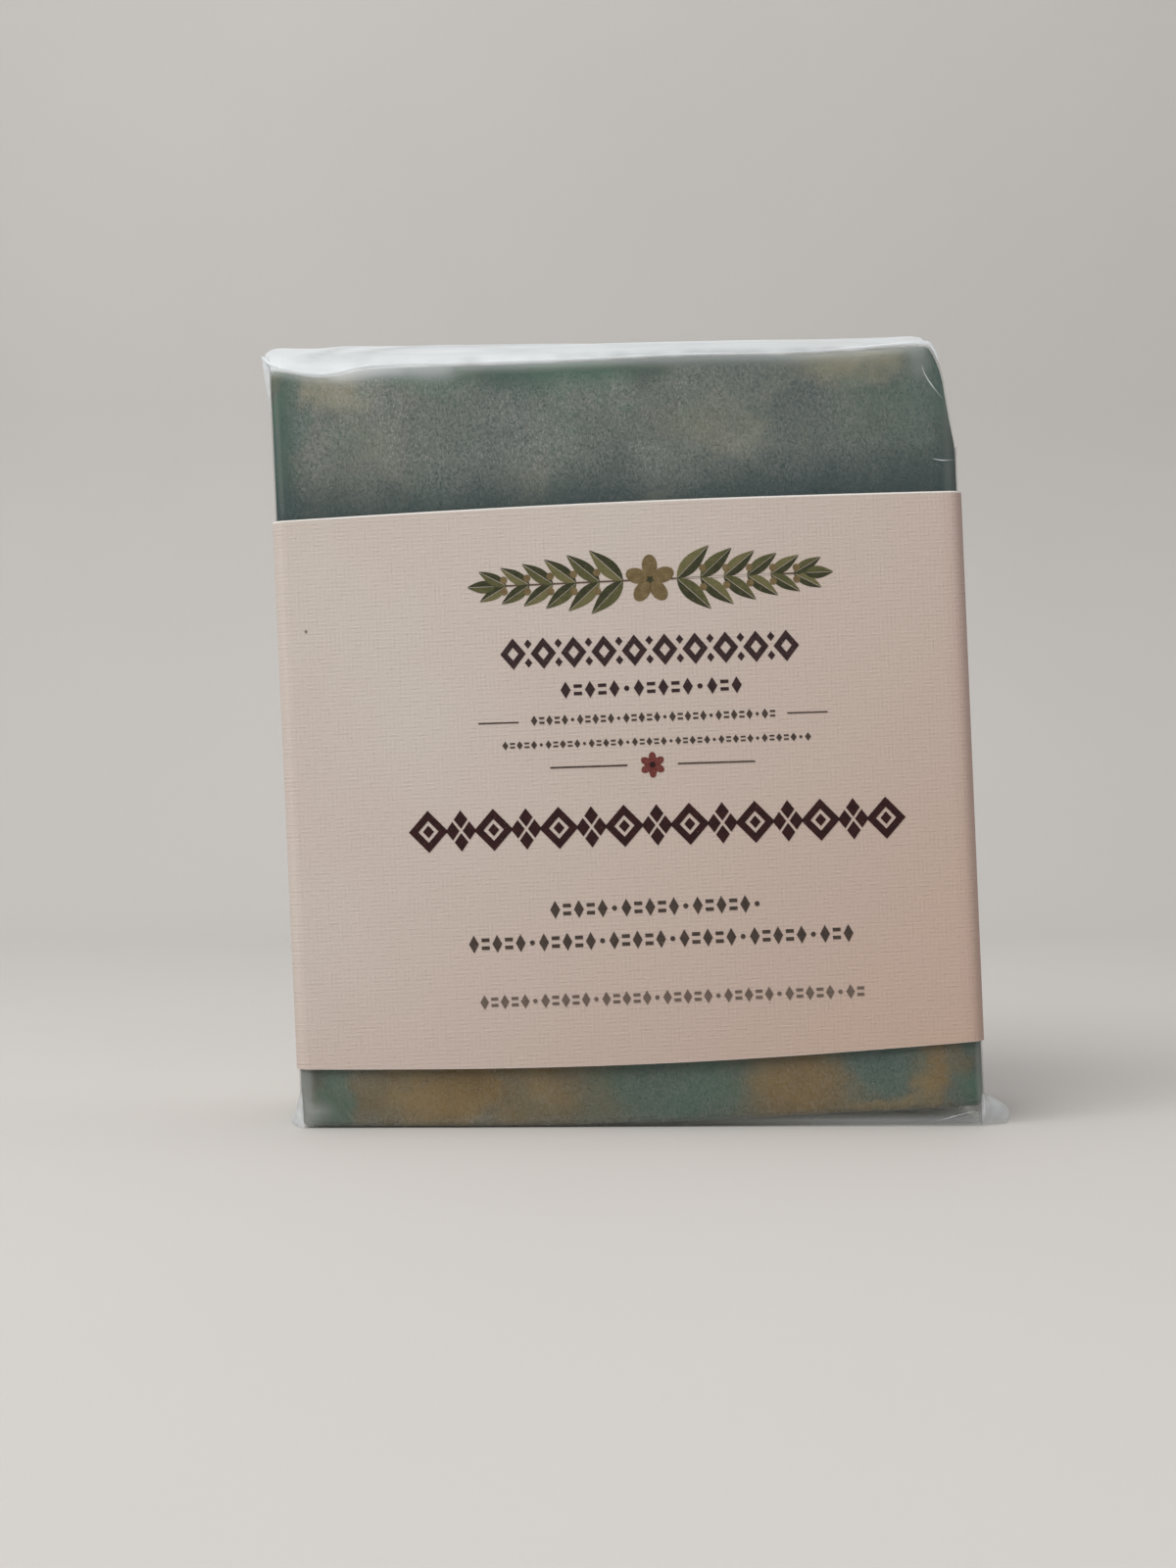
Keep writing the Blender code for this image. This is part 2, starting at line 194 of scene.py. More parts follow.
class Shader:
    """A small builder of shader nodes. Its places are in the bar's own frame, in millimetres."""

    def __init__(self, name):
        self.material = bpy.data.materials.new(name)
        self.material.use_nodes = True
        self.tree = self.material.node_tree
        self.out = self.tree.nodes["Principled BSDF"]
        coords = self.node("TexCoord").outputs["Object"]
        turn = self.node("Mapping", Vector=coords, Location=ROOT, Rotation=(0, -LEAN, 0))
        turn.vector_type = "TEXTURE"
        scale = self.vector("SCALE", turn.outputs["Vector"])
        scale.inputs["Scale"].default_value = 1 / MM
        self.place = scale.outputs["Vector"]
        self.x, self.y, self.z = self.node("SeparateXYZ", Vector=self.place).outputs

    def feed(self, socket, value):
        if isinstance(value, bpy.types.NodeSocket):
            self.tree.links.new(value, socket)
        elif isinstance(value, (tuple, list)) and len(value) == 3 and socket.type == "RGBA":
            socket.default_value = (*value, 1.0)
        else:
            socket.default_value = value

    def node(self, kind, **inputs):
        """A new node with some of its sockets fed by name."""
        made = self.tree.nodes.new(f"ShaderNode{kind}")
        for label, value in inputs.items():
            self.feed(made.inputs[label], value)
        return made

    def worked(self, kind, operation, values):
        made = self.node(kind)
        made.operation = operation
        for socket, value in zip(made.inputs, values):
            self.feed(socket, value)
        return made

    def math(self, operation, *values):
        return self.worked("Math", operation, values).outputs[0]

    def vector(self, operation, *values):
        return self.worked("VectorMath", operation, values)

    def chain(self, operation, values):
        total = values[0]
        for value in values[1:]:
            total = self.math(operation, total, value)
        return total

    def add(self, *values):
        return self.chain("ADD", values)

    def times(self, *values):
        return self.chain("MULTIPLY", values)

    def most(self, *values):
        return self.chain("MAXIMUM", values)

    def less(self, value, taken):
        return self.math("SUBTRACT", value, taken)

    def step(self, value, low, high, out_low=0.0, out_high=1.0):
        """Smooth step from out_low at low to out_high at high."""
        node = self.node("MapRange")
        node.interpolation_type = "SMOOTHSTEP"
        for socket, number in zip(node.inputs, (value, low, high, out_low, out_high)):
            self.feed(socket, number)
        return node.outputs["Result"]

    def stretched(self, scale=(1, 1, 1), place=None, offset=(0, 0, 0)):
        place = place or self.place
        return self.node("Mapping", Vector=place, Scale=scale, Location=offset).outputs["Vector"]

    def noise(self, scale, detail=2.0, rough=0.5, place=None, distortion=0.0, colour=False):
        node = self.node("TexNoise", Scale=scale, Detail=detail, Roughness=rough, Distortion=distortion)
        self.feed(node.inputs["Vector"], place or self.place)
        return node.outputs["Color" if colour else "Fac"]

    def warped(self, scale, reach, detail):
        """The place, moved about by slow noise."""
        wobble = self.noise(scale, detail, 0.55, colour=True)
        moved = self.vector("MULTIPLY_ADD", wobble, (reach,) * 3, self.place)
        return self.vector("SUBTRACT", moved.outputs[0], (reach / 2,) * 3).outputs[0]

    def attribute(self, label):
        node = self.node("Attribute")
        node.attribute_name = label
        return node.outputs["Fac"]

    def blend(self, factor, first, second):
        node = self.node("Mix")
        node.data_type = "RGBA"
        for label, value in (("Factor", factor), ("A", first), ("B", second)):
            self.feed(node.inputs[label], value)
        return node.outputs["Result"]

    def ramp(self, value, *stops):
        node = self.node("ValToRGB", Fac=value)
        elements = node.color_ramp.elements
        while len(elements) < len(stops):
            elements.new(0.5)
        for element, (position, colour) in zip(elements, stops):
            element.position = position
            element.color = (*colour, 1.0)
        return node.outputs["Color"]

    def spot(self, centre, radius, soft=0.5, warp=None):
        """1 within radius of centre, fading out over soft of the radius."""
        away = self.vector("SUBTRACT", warp or self.place, centre)
        share = self.vector("DIVIDE", away.outputs[0], radius)
        length = self.vector("LENGTH", share.outputs[0])
        return self.step(length.outputs["Value"], 1 + soft, 1 - soft)

    def front_spots(self, base, spots, soft, warp):
        """base raised by spots on the front: x, z, half width, half height and level of each."""
        for x, z, wide, tall, level in spots:
            spot = self.spot((x, -12.0, z), (wide, 12, tall), soft, warp)
            base = self.most(base, self.times(spot, level))
        return base

    def line(self, start, goal, width):
        """1 on the line from start to goal, both (x, z) on the front, fading out over width."""
        (ax, az), (bx, bz) = start, goal
        length = math.hypot(bx - ax, bz - az)
        tx, tz = (bx - ax) / length, (bz - az) / length
        from_x = self.less(self.x, ax)
        from_z = self.less(self.z, az)
        along = self.add(self.times(from_x, tx), self.times(from_z, tz))
        off = self.math("ABSOLUTE", self.add(self.times(from_x, tz), self.times(from_z, -tx)))
        begun = self.step(along, -0.1 * length, 0.25 * length)
        unfinished = self.step(along, 1.1 * length, 0.75 * length)
        return self.times(self.step(off, width, 0.0), begun, unfinished)

    def bump(self, height, strength, distance):
        return self.node("Bump", Strength=strength, Distance=distance, Height=height).outputs["Normal"]

    def set(self, **values):
        for name, value in values.items():
            self.feed(self.out.inputs[SOCKETS[name]], value)


def soap_material():
    """Blue-green clay soap with cream swirls, dull and a little waxy."""
    s = Shader("marbled_soap")
    place = s.warped(0.17, 8.0, 3.0)
    cream = s.step(s.noise(0.075, 3.0, 0.45, place=place), 0.55, 0.68, 0.0, 0.45)
    cream = s.front_spots(cream, (
        (-31.5, 82.0, 5.4, 2.6, 0.85),
        (-30.5, 74.0, 5.0, 6.5, 0.22),
        (10.4, 76.6, 4.4, 3.2, 0.42),
        (27.0, 82.6, 6.5, 2.2, 0.8),
        (-19.0, 2.8, 14.8, 4.8, 1.0),
        (17.5, 2.0, 5.8, 4.6, 1.0),
        (32.6, 2.6, 2.1, 4.4, 0.9),
        (26.0, -0.2, 8.0, 0.9, 0.7),
    ), 0.75, place)
    deep = s.noise(0.11, 3.0, 0.5, place=s.stretched(place=place, offset=(9, 31, 5)))
    deep = s.step(deep, 0.5, 0.68, 0, 0.5)
    deep = s.front_spots(deep, (
        (-36.2, 80.0, 2.0, 7.0, 1.0),
        (-37.2, 74.0, 1.2, 9.0, 0.8),
        (-6.0, 82.4, 9.0, 1.8, 0.9),
        (-21.0, 82.6, 6.5, 1.8, 0.8),
        (1.7, 78.2, 1.5, 1.0, 0.6),
        (34.4, 80.5, 3.2, 4.2, 0.8),
        (-34.6, 3.0, 2.0, 5.0, 0.9),
        (2.8, 3.2, 9.0, 4.2, 0.9),
        (27.0, 4.6, 4.4, 3.0, 1.0),
        (37.2, 0.6, 1.8, 2.6, 1.0),
    ), 0.45, place)
    plain = s.times(s.spot((-18.5, -12.0, 76.5), (8.0, 12, 5.5), 0.5), 0.85)
    cream = s.times(cream, s.less(1.0, s.most(s.times(deep, 0.9), plain)))
    tone = s.noise(0.12, 4.0, 0.6, place=s.stretched(offset=(40, 7, 13)))
    clays = ((0.3, (0.050, 0.080, 0.072)), (0.55, (0.066, 0.098, 0.085)), (0.75, (0.086, 0.112, 0.092)))
    clay = s.ramp(tone, *clays)
    clay = s.blend(s.times(deep, 0.8), clay, (0.058, 0.138, 0.098))
    blue = s.noise(0.06, 2.0, 0.5, place=s.stretched(offset=(3, 57, 21)))
    clay = s.blend(s.step(blue, 0.45, 0.65, 0, 0.5), clay, (0.042, 0.070, 0.082))
    # Painted shade: the clay turns darker towards the floor.
    under = s.times(s.step(s.z, 8.0, 1.0), s.step(s.z, -4.0, 0.5, 1.0, 0.45))
    clay = s.blend(s.times(under, 0.5), clay, (0.030, 0.050, 0.030))
    near_band = s.times(s.step(s.z, 76.5, 69.5), s.step(s.z, 55.0, 60.0))
    clay = s.blend(s.times(near_band, 0.75), clay, (0.025, 0.051, 0.058))
    cream = s.times(cream, s.less(1.0, s.times(near_band, 0.6)))
    ochre = s.ramp(tone, (0.3, (0.155, 0.090, 0.020)), (0.7, (0.235, 0.155, 0.048)))
    ivory = s.ramp(tone, (0.3, (0.205, 0.190, 0.118)), (0.7, (0.310, 0.300, 0.210)))
    colour = s.blend(cream, clay, s.blend(s.step(s.z, 20.0, 60.0), ochre, ivory))
    speck = s.noise(2.6, 3.0, 0.7)
    colour = s.blend(s.step(speck, 0.62, 0.72, 0, 0.22), colour, (0.016, 0.036, 0.036))
    pits = s.step(s.noise(1.1, 4.0, 0.65), 0.6, 0.74)
    colour = s.blend(s.times(pits, 0.25), colour, (0.02, 0.04, 0.036))
    rough = s.step(s.noise(0.8, 3.0, 0.5), 0.3, 0.7, 0.5, 0.72)
    height = s.add(s.times(pits, -0.8), s.times(s.noise(0.5, 3.0, 0.5), 0.7), s.times(speck, 0.25))
    s.set(colour=colour, roughness=rough, normal=s.bump(height, 0.5, 0.0002), specular=0.22)
    s.out.inputs["Subsurface Weight"].default_value = 0.1
    s.out.inputs["Subsurface Radius"].default_value = (0.002, 0.0024, 0.002)
    s.out.inputs["Subsurface Scale"].default_value = 1.0
    return s.material


def linen(s):
    """Height of the paper's linen emboss: fine crossing threads, uneven in thickness and depth."""
    along = s.add(s.x, s.y)  # runs on round the band's folds
    flat = s.node("CombineXYZ", X=along, Y=s.z).outputs[0]

    def thread_noise(across, up, offset=(0, 0, 0)):
        return s.noise(1.0, 2.0, 0.6, place=s.stretched((across, up, 1), flat, offset))

    def thread(run, wander, sway):
        turns = 2 * math.pi / 0.47  # one thread in 0.47 mm
        return s.math("SINE", s.add(s.times(run, turns), s.times(wander, 3.0), s.times(slow, sway)))

    slow = s.noise(0.25, 2.0, 0.5, place=flat)
    weft = thread(s.z, thread_noise(0.22, 3.2), 2.5)
    warp = thread(along, thread_noise(3.2, 0.3, (31, 17, 3)), 2.0)
    weft_deep = s.step(thread_noise(0.8, 2.2), 0.4, 0.7, 0.0, 1.0)
    warp_deep = s.step(thread_noise(2.2, 0.4), 0.4, 0.7, 0.1, 0.8)
    threads = s.add(s.times(weft, weft_deep, 0.42), s.times(warp, warp_deep, 0.38))
    slub = s.step(thread_noise(0.5, 4.5, (5, 2, 9)), 0.6, 0.78)
    threads = s.add(threads, s.times(slub, 0.45))
    fibre = s.noise(7.0, 2.0, 0.6, place=flat)
    return s.add(threads, s.times(fibre, 0.5)), threads, flat


def paper_material():
    """Cream linen-embossed paper with painted light: lighter and cooler towards its upper left, darker and
    warm towards its lower right.
    """
    s = Shader("linen_paper")
    height, threads, flat = linen(s)
    # Painted shade and a painted warm reflection: the paper lighter and cooler at its upper left, darker and
    # more orange at its lower right.
    diagonal = s.add(s.times(s.x, 0.0072), s.times(s.z, -0.0072), 0.5)
    painted_light_ramp = ((0.0, (0.668, 0.598, 0.542)), (0.5, (0.615, 0.485, 0.415)), (1.0, (0.575, 0.390, 0.268)))
    base = s.ramp(diagonal, *painted_light_ramp)
    cloud = s.noise(0.05, 3.0, 0.5, place=flat)
    base = s.blend(s.step(cloud, 0.35, 0.7, 0, 0.25), base, (0.62, 0.48, 0.44))
    # Painted shade, pinkish, where the band turns round its right fold.
    base = s.blend(s.step(s.x, 35.5, 38.6, 0, 0.45), base, (0.50, 0.33, 0.29))
    # Painted shade in the hollows between the threads and painted highlight on the raised threads.
    base = s.blend(s.step(threads, -0.6, 0.6, 0.11, 0.0), base, (0.30, 0.22, 0.17))
    base = s.blend(s.step(threads, 0.3, 1.2, 0.0, 0.2), base, (0.80, 0.73, 0.66))
    # Painted highlight along the cut edges, where the paper's thickness catches the light.
    base = s.blend(s.attribute("cut"), base, (0.96, 0.93, 0.89))
    flake = s.step(s.noise(3.3, 1.0, 0.5, place=flat), 0.79, 0.84)
    base = s.blend(s.times(flake, 0.5), base, (0.20, 0.14, 0.10))
    mark = s.spot((-35.2, -13.3, 55.1), (0.14, 3.0, 0.2), 0.5)
    base = s.blend(s.times(mark, 0.8), base, (0.03, 0.02, 0.02))
    rough = s.step(threads, -0.8, 0.8, 0.86, 0.74)
    s.set(colour=base, roughness=rough, normal=s.bump(height, 0.75, 0.00006), specular=0.3, sheen=0.05)
    return s.material


def ink_material(name, colour, worn, second=None):
    """Ink on the linen paper: it skips on the raised threads and lets the paper show through."""
    s = Shader(name)
    height, threads, flat = linen(s)
    tone = s.blend(s.step(s.noise(1.3, 3.0, 0.6, place=flat), 0.3, 0.75), colour, second or colour)
    skip = s.noise(4.5, 2.0, 0.7, place=flat)
    skip = s.step(s.add(skip, s.times(threads, 0.10)), 0.68 - worn * 0.1, 0.80)
    tone = s.blend(s.times(skip, 0.7), tone, (0.50, 0.41, 0.34))
    rough = s.step(threads, -0.8, 0.8, 0.8, 0.66)
    s.set(colour=tone, roughness=rough, normal=s.bump(height, 0.5, 0.00006), specular=0.3)
    return s.material


def film_material(name, contact, haze, white):
    """Frosted film: clear where it clings to the soap, hazy where it stands off and near opaque in folds.

    contact, haze and white are the alphas of those three states. Two vertex attributes say where each
    holds: fold for creases and for white film laid on as painted highlight and painted light, and loose for
    lifted film.
    """
    s = Shader(name)
    fold = s.attribute("fold")
    loose = s.attribute("loose")
    grain = s.noise(1.0, 2.0, 0.85, place=s.stretched((4.6, 4.6, 3.2)))
    streak = s.noise(1.0, 2.0, 0.6, place=s.stretched((6.5, 6.5, 2.2)))
    clouds = s.add(s.times(s.noise(0.14, 3.0, 0.6), 0.7), s.times(s.noise(0.45, 3.0, 0.6), 0.3))
    body = s.step(clouds, 0.3, 0.72, haze * 0.8, haze * 1.25)
    level = s.add(contact, s.times(loose, s.less(body, contact)))
    texture = s.add(s.times(s.less(grain, 0.5), 3.2), s.times(s.less(streak, 0.5), 1.5), 1.0)
    level = s.times(level, s.math("MINIMUM", texture, 1.6))
    right = s.times(s.step(s.x, 4.0, 26.0), s.step(s.z, 60.0, 66.0))
    level = s.times(level, s.less(1.0, s.times(right, 0.32)))
    for start, goal, width, strength in (
        ((36.9, 79.0), (37.7, 71.5), 0.25, 0.16),
        ((31.0, 84.0), (34.2, 79.5), 1.2, 0.10),
        ((35.2, 71.3), (33.0, 71.6), 0.5, 0.12),
        ((37.6, -1.9), (31.5, -2.9), 0.5, 0.40),
        ((-37.6, 84.4), (-37.3, 66.0), 0.7, 0.17),
    ):
        level = s.most(level, s.times(s.line(start, goal, width), strength))
    veil = s.noise(1.0, 3.0, 0.5, place=s.stretched((0.06, 0.3, 0.3)))
    # White where folds are milky, and where painted highlight and painted light come in through fold.
    milk_and_painted_light = s.times(s.step(veil, 0.35, 0.65, 0.88, 1.04), fold, white)
    level = s.math("MINIMUM", s.most(level, milk_and_painted_light, 0.03), 0.985)
    tint = s.blend(s.step(fold, 0.1, 0.6), (0.47, 0.475, 0.43), (0.77, 0.80, 0.82))
    tint = s.blend(s.step(grain, 0.45, 0.75, 0, 0.2), tint, (0.60, 0.61, 0.58))
    rough = s.step(s.noise(0.5, 3.0, 0.6), 0.3, 0.75, 0.36, 0.52)
    wrinkle = s.noise(0.55, 4.0, 0.6, distortion=1.2)
    height = s.add(s.times(wrinkle, s.add(0.26, s.times(fold, -0.22))), s.times(grain, 0.015))
    s.set(colour=tint, roughness=rough, alpha=level, normal=s.bump(height, 0.5, 0.0003), specular=0.5)
    return s.material


def tape_material():
    s = Shader("tape")
    colour = s.ramp(s.noise(0.4, 2.0), (0.3, (0.62, 0.57, 0.42)), (0.7, (0.74, 0.70, 0.56)))
    s.set(colour=colour, roughness=s.step(s.noise(1.5, 2.0), 0.3, 0.7, 0.3, 0.5))
    return s.material


FILM_LOOK = film_material("frosted_film", contact=0.06, haze=0.27, white=0.96)
PAPER_LOOK = paper_material()

# Each ink's two tones and how much of it has worn off.
INKS = {
    "leaf_dark": ((0.034, 0.036, 0.015), (0.058, 0.058, 0.024), 0.3),
    "leaf_mid": ((0.082, 0.085, 0.032), (0.120, 0.112, 0.045), 0.4),
    "leaf_light": ((0.140, 0.135, 0.055), (0.180, 0.155, 0.070), 0.5),
    "petal": ((0.150, 0.105, 0.045), (0.220, 0.160, 0.075), 0.4),
    "stem": ((0.110, 0.075, 0.050), None, 0.5),
    "maroon": ((0.028, 0.013, 0.015), (0.048, 0.024, 0.024), 0.5),
    "title": ((0.022, 0.0045, 0.005), (0.038, 0.008, 0.008), 0.2),
    "red": ((0.150, 0.030, 0.028), (0.190, 0.050, 0.040), 0.6),
    "fine": ((0.055, 0.040, 0.033), (0.082, 0.060, 0.048), 0.4),
    "pale": ((0.140, 0.105, 0.085), (0.180, 0.135, 0.110), 0.6),
}


# Meshes


def piece(name, verts, faces, material, slot, attributes=None, soft=True):
    """A mesh object whose points are in the bar's frame, riding on the root body."""
    mesh = bpy.data.meshes.new(name)
    mesh.from_pydata([TO_ROW @ Vector(v) for v in verts], [], faces)
    mesh.validate()
    for label, values in (attributes or {}).items():
        layer = mesh.attributes.new(label, "FLOAT", "POINT")
        layer.data.foreach_set("value", values)
    mesh.materials.append(material)
    if soft:
        mesh.shade_smooth()
    made = bpy.data.objects.new(name, mesh)
    bpy.context.scene.collection.objects.link(made)
    if slot == "film":
        made.visible_shadow = False  # light passes through the thin film
    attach(made, "root")
    return made


def film_piece(name, verts, faces, fold, loose=None):
    """A piece of film, loose all over unless loose says otherwise."""
    held = {"fold": fold, "loose": loose or [1.0] * len(verts)}
    return piece(name, verts, faces, FILM_LOOK, "film", held)


def sheet_faces(rows, columns):
    """Quads of a sheet whose points run along row after row."""
    faces = []
    for i in range(rows):
        for j in range(columns):
            k = i * (columns + 1) + j
            faces.append((k, k + 1, k + columns + 2, k + columns + 1))
    return faces


def tube_faces(rings, count, turned=False):
    """Quads between closed rings of count points, turned over for rings that run the other way."""
    faces = []
    for row in range(rings - 1):
        for i in range(count):
            a, b = row * count + i, row * count + (i + 1) % count
            faces.append((a, b, b + count, a + count) if turned else (a, a + count, b + count, b))
    return faces


def towards(start, goal, distance):
    """The point at a distance from start on the way to goal."""
    length = math.dist(start, goal)
    return tuple(mix(a, b, distance / length) for a, b in zip(start, goal))


def soap_form():
    """The bar in finer form than its solid, filling the film: soft edges and a slightly uneven cut face."""
    side, half = BAR_WIDTH / 2 + 0.53 * MM, BAR_DEPTH / 2 + 0.22 * MM
    edge = 0.8 * MM
    places = stations(side, 120, (0.08, 0.2, 0.4))
    verts = []
    for x in places:
        from_end = max(0.0, side - abs(x))
        shrink = edge - math.sqrt(from_end * (2 * edge - from_end)) if from_end < edge else 0.0
        top = bar_top(x, 0.45 * MM, 0.38 * MM) - droop(x) - shrink
        low = max(soap_floor(x), floor_height(x) + 0.12 * MM) + shrink
        depth = half - shrink
        ring = []
        for cy, cz, start in ((-1, 0, 180), (1, 0, 270), (1, 1, 0), (-1, 1, 90)):
            middle_y = cy * (depth - edge)
            middle_z = low + edge if cz == 0 else top - edge
            for step in range(7):
                angle = math.radians(start + 90 * step / 6)
                ring.append((middle_y + edge * math.cos(angle), middle_z + edge * math.sin(angle)))
            if cy == 1 and cz == 0:
                ring += [(depth, mix(low + edge, top - edge, i / 40)) for i in range(1, 40)]
            elif cy == -1 and cz == 1:
                ring += [(-depth, mix(top - edge, low + edge, i / 40)) for i in range(1, 40)]
        for y, z in ring:
            uneven = waver(x / MM * 0.09, y / MM * 0.05, z / MM * 0.09)
            verts.append((x, y + 0.07 * MM * uneven * (1 if y > 0 else -1), z))
    count = len(ring)
    faces = tube_faces(len(places), count)
    faces.append(tuple(range(count)))
    faces.append(tuple(range(len(verts) - 1, len(verts) - count - 1, -1)))
    made = piece("soap_block", verts, faces, soap_material(), "soap")
    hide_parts("soap_bar")


# The film


def wrap_section(x):
    """The wrap cut across at x: points (y, z, part, share), part naming the face that the point lies on."""
    from_end = HALF_WIDTH - abs(x)
    shrink = 0.0
    if from_end < FILM_CORNER_ROUND:
        from_end = max(from_end, 0.0)
        shrink = FILM_CORNER_ROUND - math.sqrt(from_end * (2 * FILM_CORNER_ROUND - from_end))
    shoulder = bar_top(x, WRAP_ASIDE, FIT_GAP + FILM) - shrink * (0.15 if x < 0 else 1.0)
    across = clamp(x / (2 * HALF_WIDTH) + 0.5)
    rise = mix(ROOF_RISE_LEFT, ROOF_RISE_RIGHT, across**2) * max(0.0, 1 - corner_drop(x, WRAP_ASIDE))
    rise += top_dip(x)
    depth = HALF_DEPTH - shrink
    low = floor_height(x) + shrink
    points = []

    def run(part, start, goal, count):
        for index in range(count):
            share = index / count
            y, z = (mix(a, b, share) for a, b in zip(start, goal))
            points.append((y, z, part, share))

    def turn(part, corner, before, after, radius, count=5):
        start, goal = towards(corner, before, radius), towards(corner, after, radius)
        for index in range(count):
            t = index / count
            y, z = (mix(mix(a, c, t), mix(c, b, t), t) for a, c, b in zip(start, corner, goal))
            points.append((y, z, part, t))
        return goal

    front_low, back_low = (-depth, low), (depth, low)
    sunk = droop(x)
    back_high, front_high = (depth, shoulder), (-depth, shoulder - sunk)
    roof_back = (depth * 0.86, shoulder + rise * arch(0.93))
    roof_front = (-depth * 0.9, shoulder + rise * arch(0.05) - sunk * 0.7)
    here = turn("fold_low", front_low, front_high, back_low, FILM_LOW_ROUND)
    run("bottom", here, towards(back_low, front_low, FILM_LOW_ROUND), 10)
    here = turn("fold_low", back_low, front_low, back_high, FILM_LOW_ROUND)
    run("back", here, towards(back_high, back_low, FILM_BACK_ROUND), 70)
    turn("fold_back", back_high, back_low, roof_back, FILM_BACK_ROUND)
    roof_count = 34
    for index in range(roof_count):
        share = mix(0.95, 0.04, index / roof_count)
        y = depth * (2 * share - 1)
        points.append((y, shoulder + rise * arch(share) - sunk * smooth(0.2, 0.0, share), "roof", share))
    here = turn("fold_front", front_high, roof_front, front_low, FILM_FRONT_ROUND)
    run("front", here, towards(front_low, front_high, FILM_LOW_ROUND), 70)
    return points


def crease(x, z, start, goal, width):
    """1 on the line from start to goal, fading out over width and towards both ends."""
    ax, az = start
    bx, bz = goal
    length = math.hypot(bx - ax, bz - az)
    along = ((x - ax) * (bx - ax) + (z - az) * (bz - az)) / (length * length)
    if not -0.02 < along < 1.02:
        return 0.0
    off = abs((x - ax) * (bz - az) - (z - az) * (bx - ax)) / length
    return max(0.0, 1 - off / width) * math.sin(math.pi * min(max(along, 0.02), 0.98)) ** 0.4


def hanging(x):
    """1 where the roof's crease hangs over the front, and where white film below it is a painted highlight
    along the crease.
    """
    return smooth(-35, -29, x) * smooth(-16, -26, x)


def roof_state(x, y, share):
    """The roof: rippled and creased, clearer near its right end and whitest along its front."""
    across = smooth(0.0, 0.2, share) * smooth(1.0, 0.85, share)
    across *= max(0.0, 1 - 4 * corner_drop(x * MM, WRAP_ASIDE))
    wrinkles = waver(x * 0.05 + y * 0.10, y * 0.32 - x * 0.04, 3.1)
    lift = 0.28 * wrinkles * across
    lift += 0.20 * crease(x, y, (-37, -12), (-26, -4), 2.0)
    lift += 0.16 * crease(x, y, (-33, -12), (-17, -7), 1.6)
    white = 0.82 + 0.07 * wrinkles
    white -= 0.20 * crease(x, y, (-35.5, -12), (-25, -4), 1.1)
    white -= 0.16 * crease(x, y, (-31, -12.4), (-19, -7), 0.8)
    white -= 0.12 * crease(x, y, (-24, -12.4), (2, -9), 0.9)
    white = mix(white, 0.26, smooth(34.8, 37.3, x))
    white = max(white, 0.97 * smooth(0.16, 0.03, share) * smooth(38.0, 34.0, x))
    return lift, white, 1.0


def high_front_state(x, z, lift, down):
    """The front above the band: misty under the crease, then clinging, then loose."""
    uneven = waver(x * 0.22, 0.5, 2.0)
    patch = smooth(-33, -27, x) * smooth(-13, -20.5, x)
    spread = mix(2.4 + 1.4 * uneven, 2.1 + 0.4 * uneven, patch)
    misty = mix(0.26, 0.62, patch) * smooth(-38, -34, x)
    misty *= 1 - 0.8 * smooth(-19, -12, x) * smooth(9, 1, x)
    corner = math.hypot((x - 34.4) / 1.6, (z - 82.2) / 2.6)
    white = max(
        0.42 * smooth(0.6 + 0.3 * uneven, 0.0, down) * smooth(37.0, 34.5, x),
        misty * smooth(1.2 + spread, 0.0, down) * smooth(36, 33, x),
        0.42 * smooth(0.9, 0.3, down) * smooth(36.5, 34.5, x),
        # The crease hanging over the front: its milky fold, together with a painted highlight along it.
        0.88 * hanging(x) * smooth(0.8, 0.25, down),
        0.30 * smooth(1.6, 0.2, corner),
        # Painted light: milky white along the right edge, lifting the side that turns away from the key lamp.
        0.15 * smooth(35.8, 37.2, x),
    )
    cling = 0.4 + (2.6 + 2.2 * uneven) * smooth(-20, -14, x) * smooth(10, 2, x)
    free = mix(0.12, 1.0, smooth(cling * 0.35, cling * 1.5, down))
    free *= smooth(-38.0, -33.5, x + 1.5 * uneven) * smooth(38.0, 34.5, x)
    above_band = z - (BAND_LOW + BAND_HEIGHT) / MM
    free *= mix(0.15, 1.0, smooth(0.2, 6.5, above_band + 1.2 * uneven))
    return lift, white, free


def low_front_state(x, z, lift):
    """The front below the band: pale at its ends and where it reaches below the soap."""
    over_soap = z - soap_floor(x * MM) / MM
    white = max(
        0.24 * smooth(0.25, -0.35, over_soap) * mix(0.4, 1.0, smooth(-10, 25, x)),
        0.55 * smooth(-31.5, -37.4, x) * smooth(4.5, 0.3, z),
        0.34 * smooth(1.3, -0.2, over_soap) * smooth(-14, -30, x),
        0.36 * smooth(-35.8, -37.2, x),
        0.30 * smooth(36.9, 37.7, x),
    )
    return lift, white, 0.26 * smooth(-38.0, -33, x) * smooth(38, 34, x) + 0.08


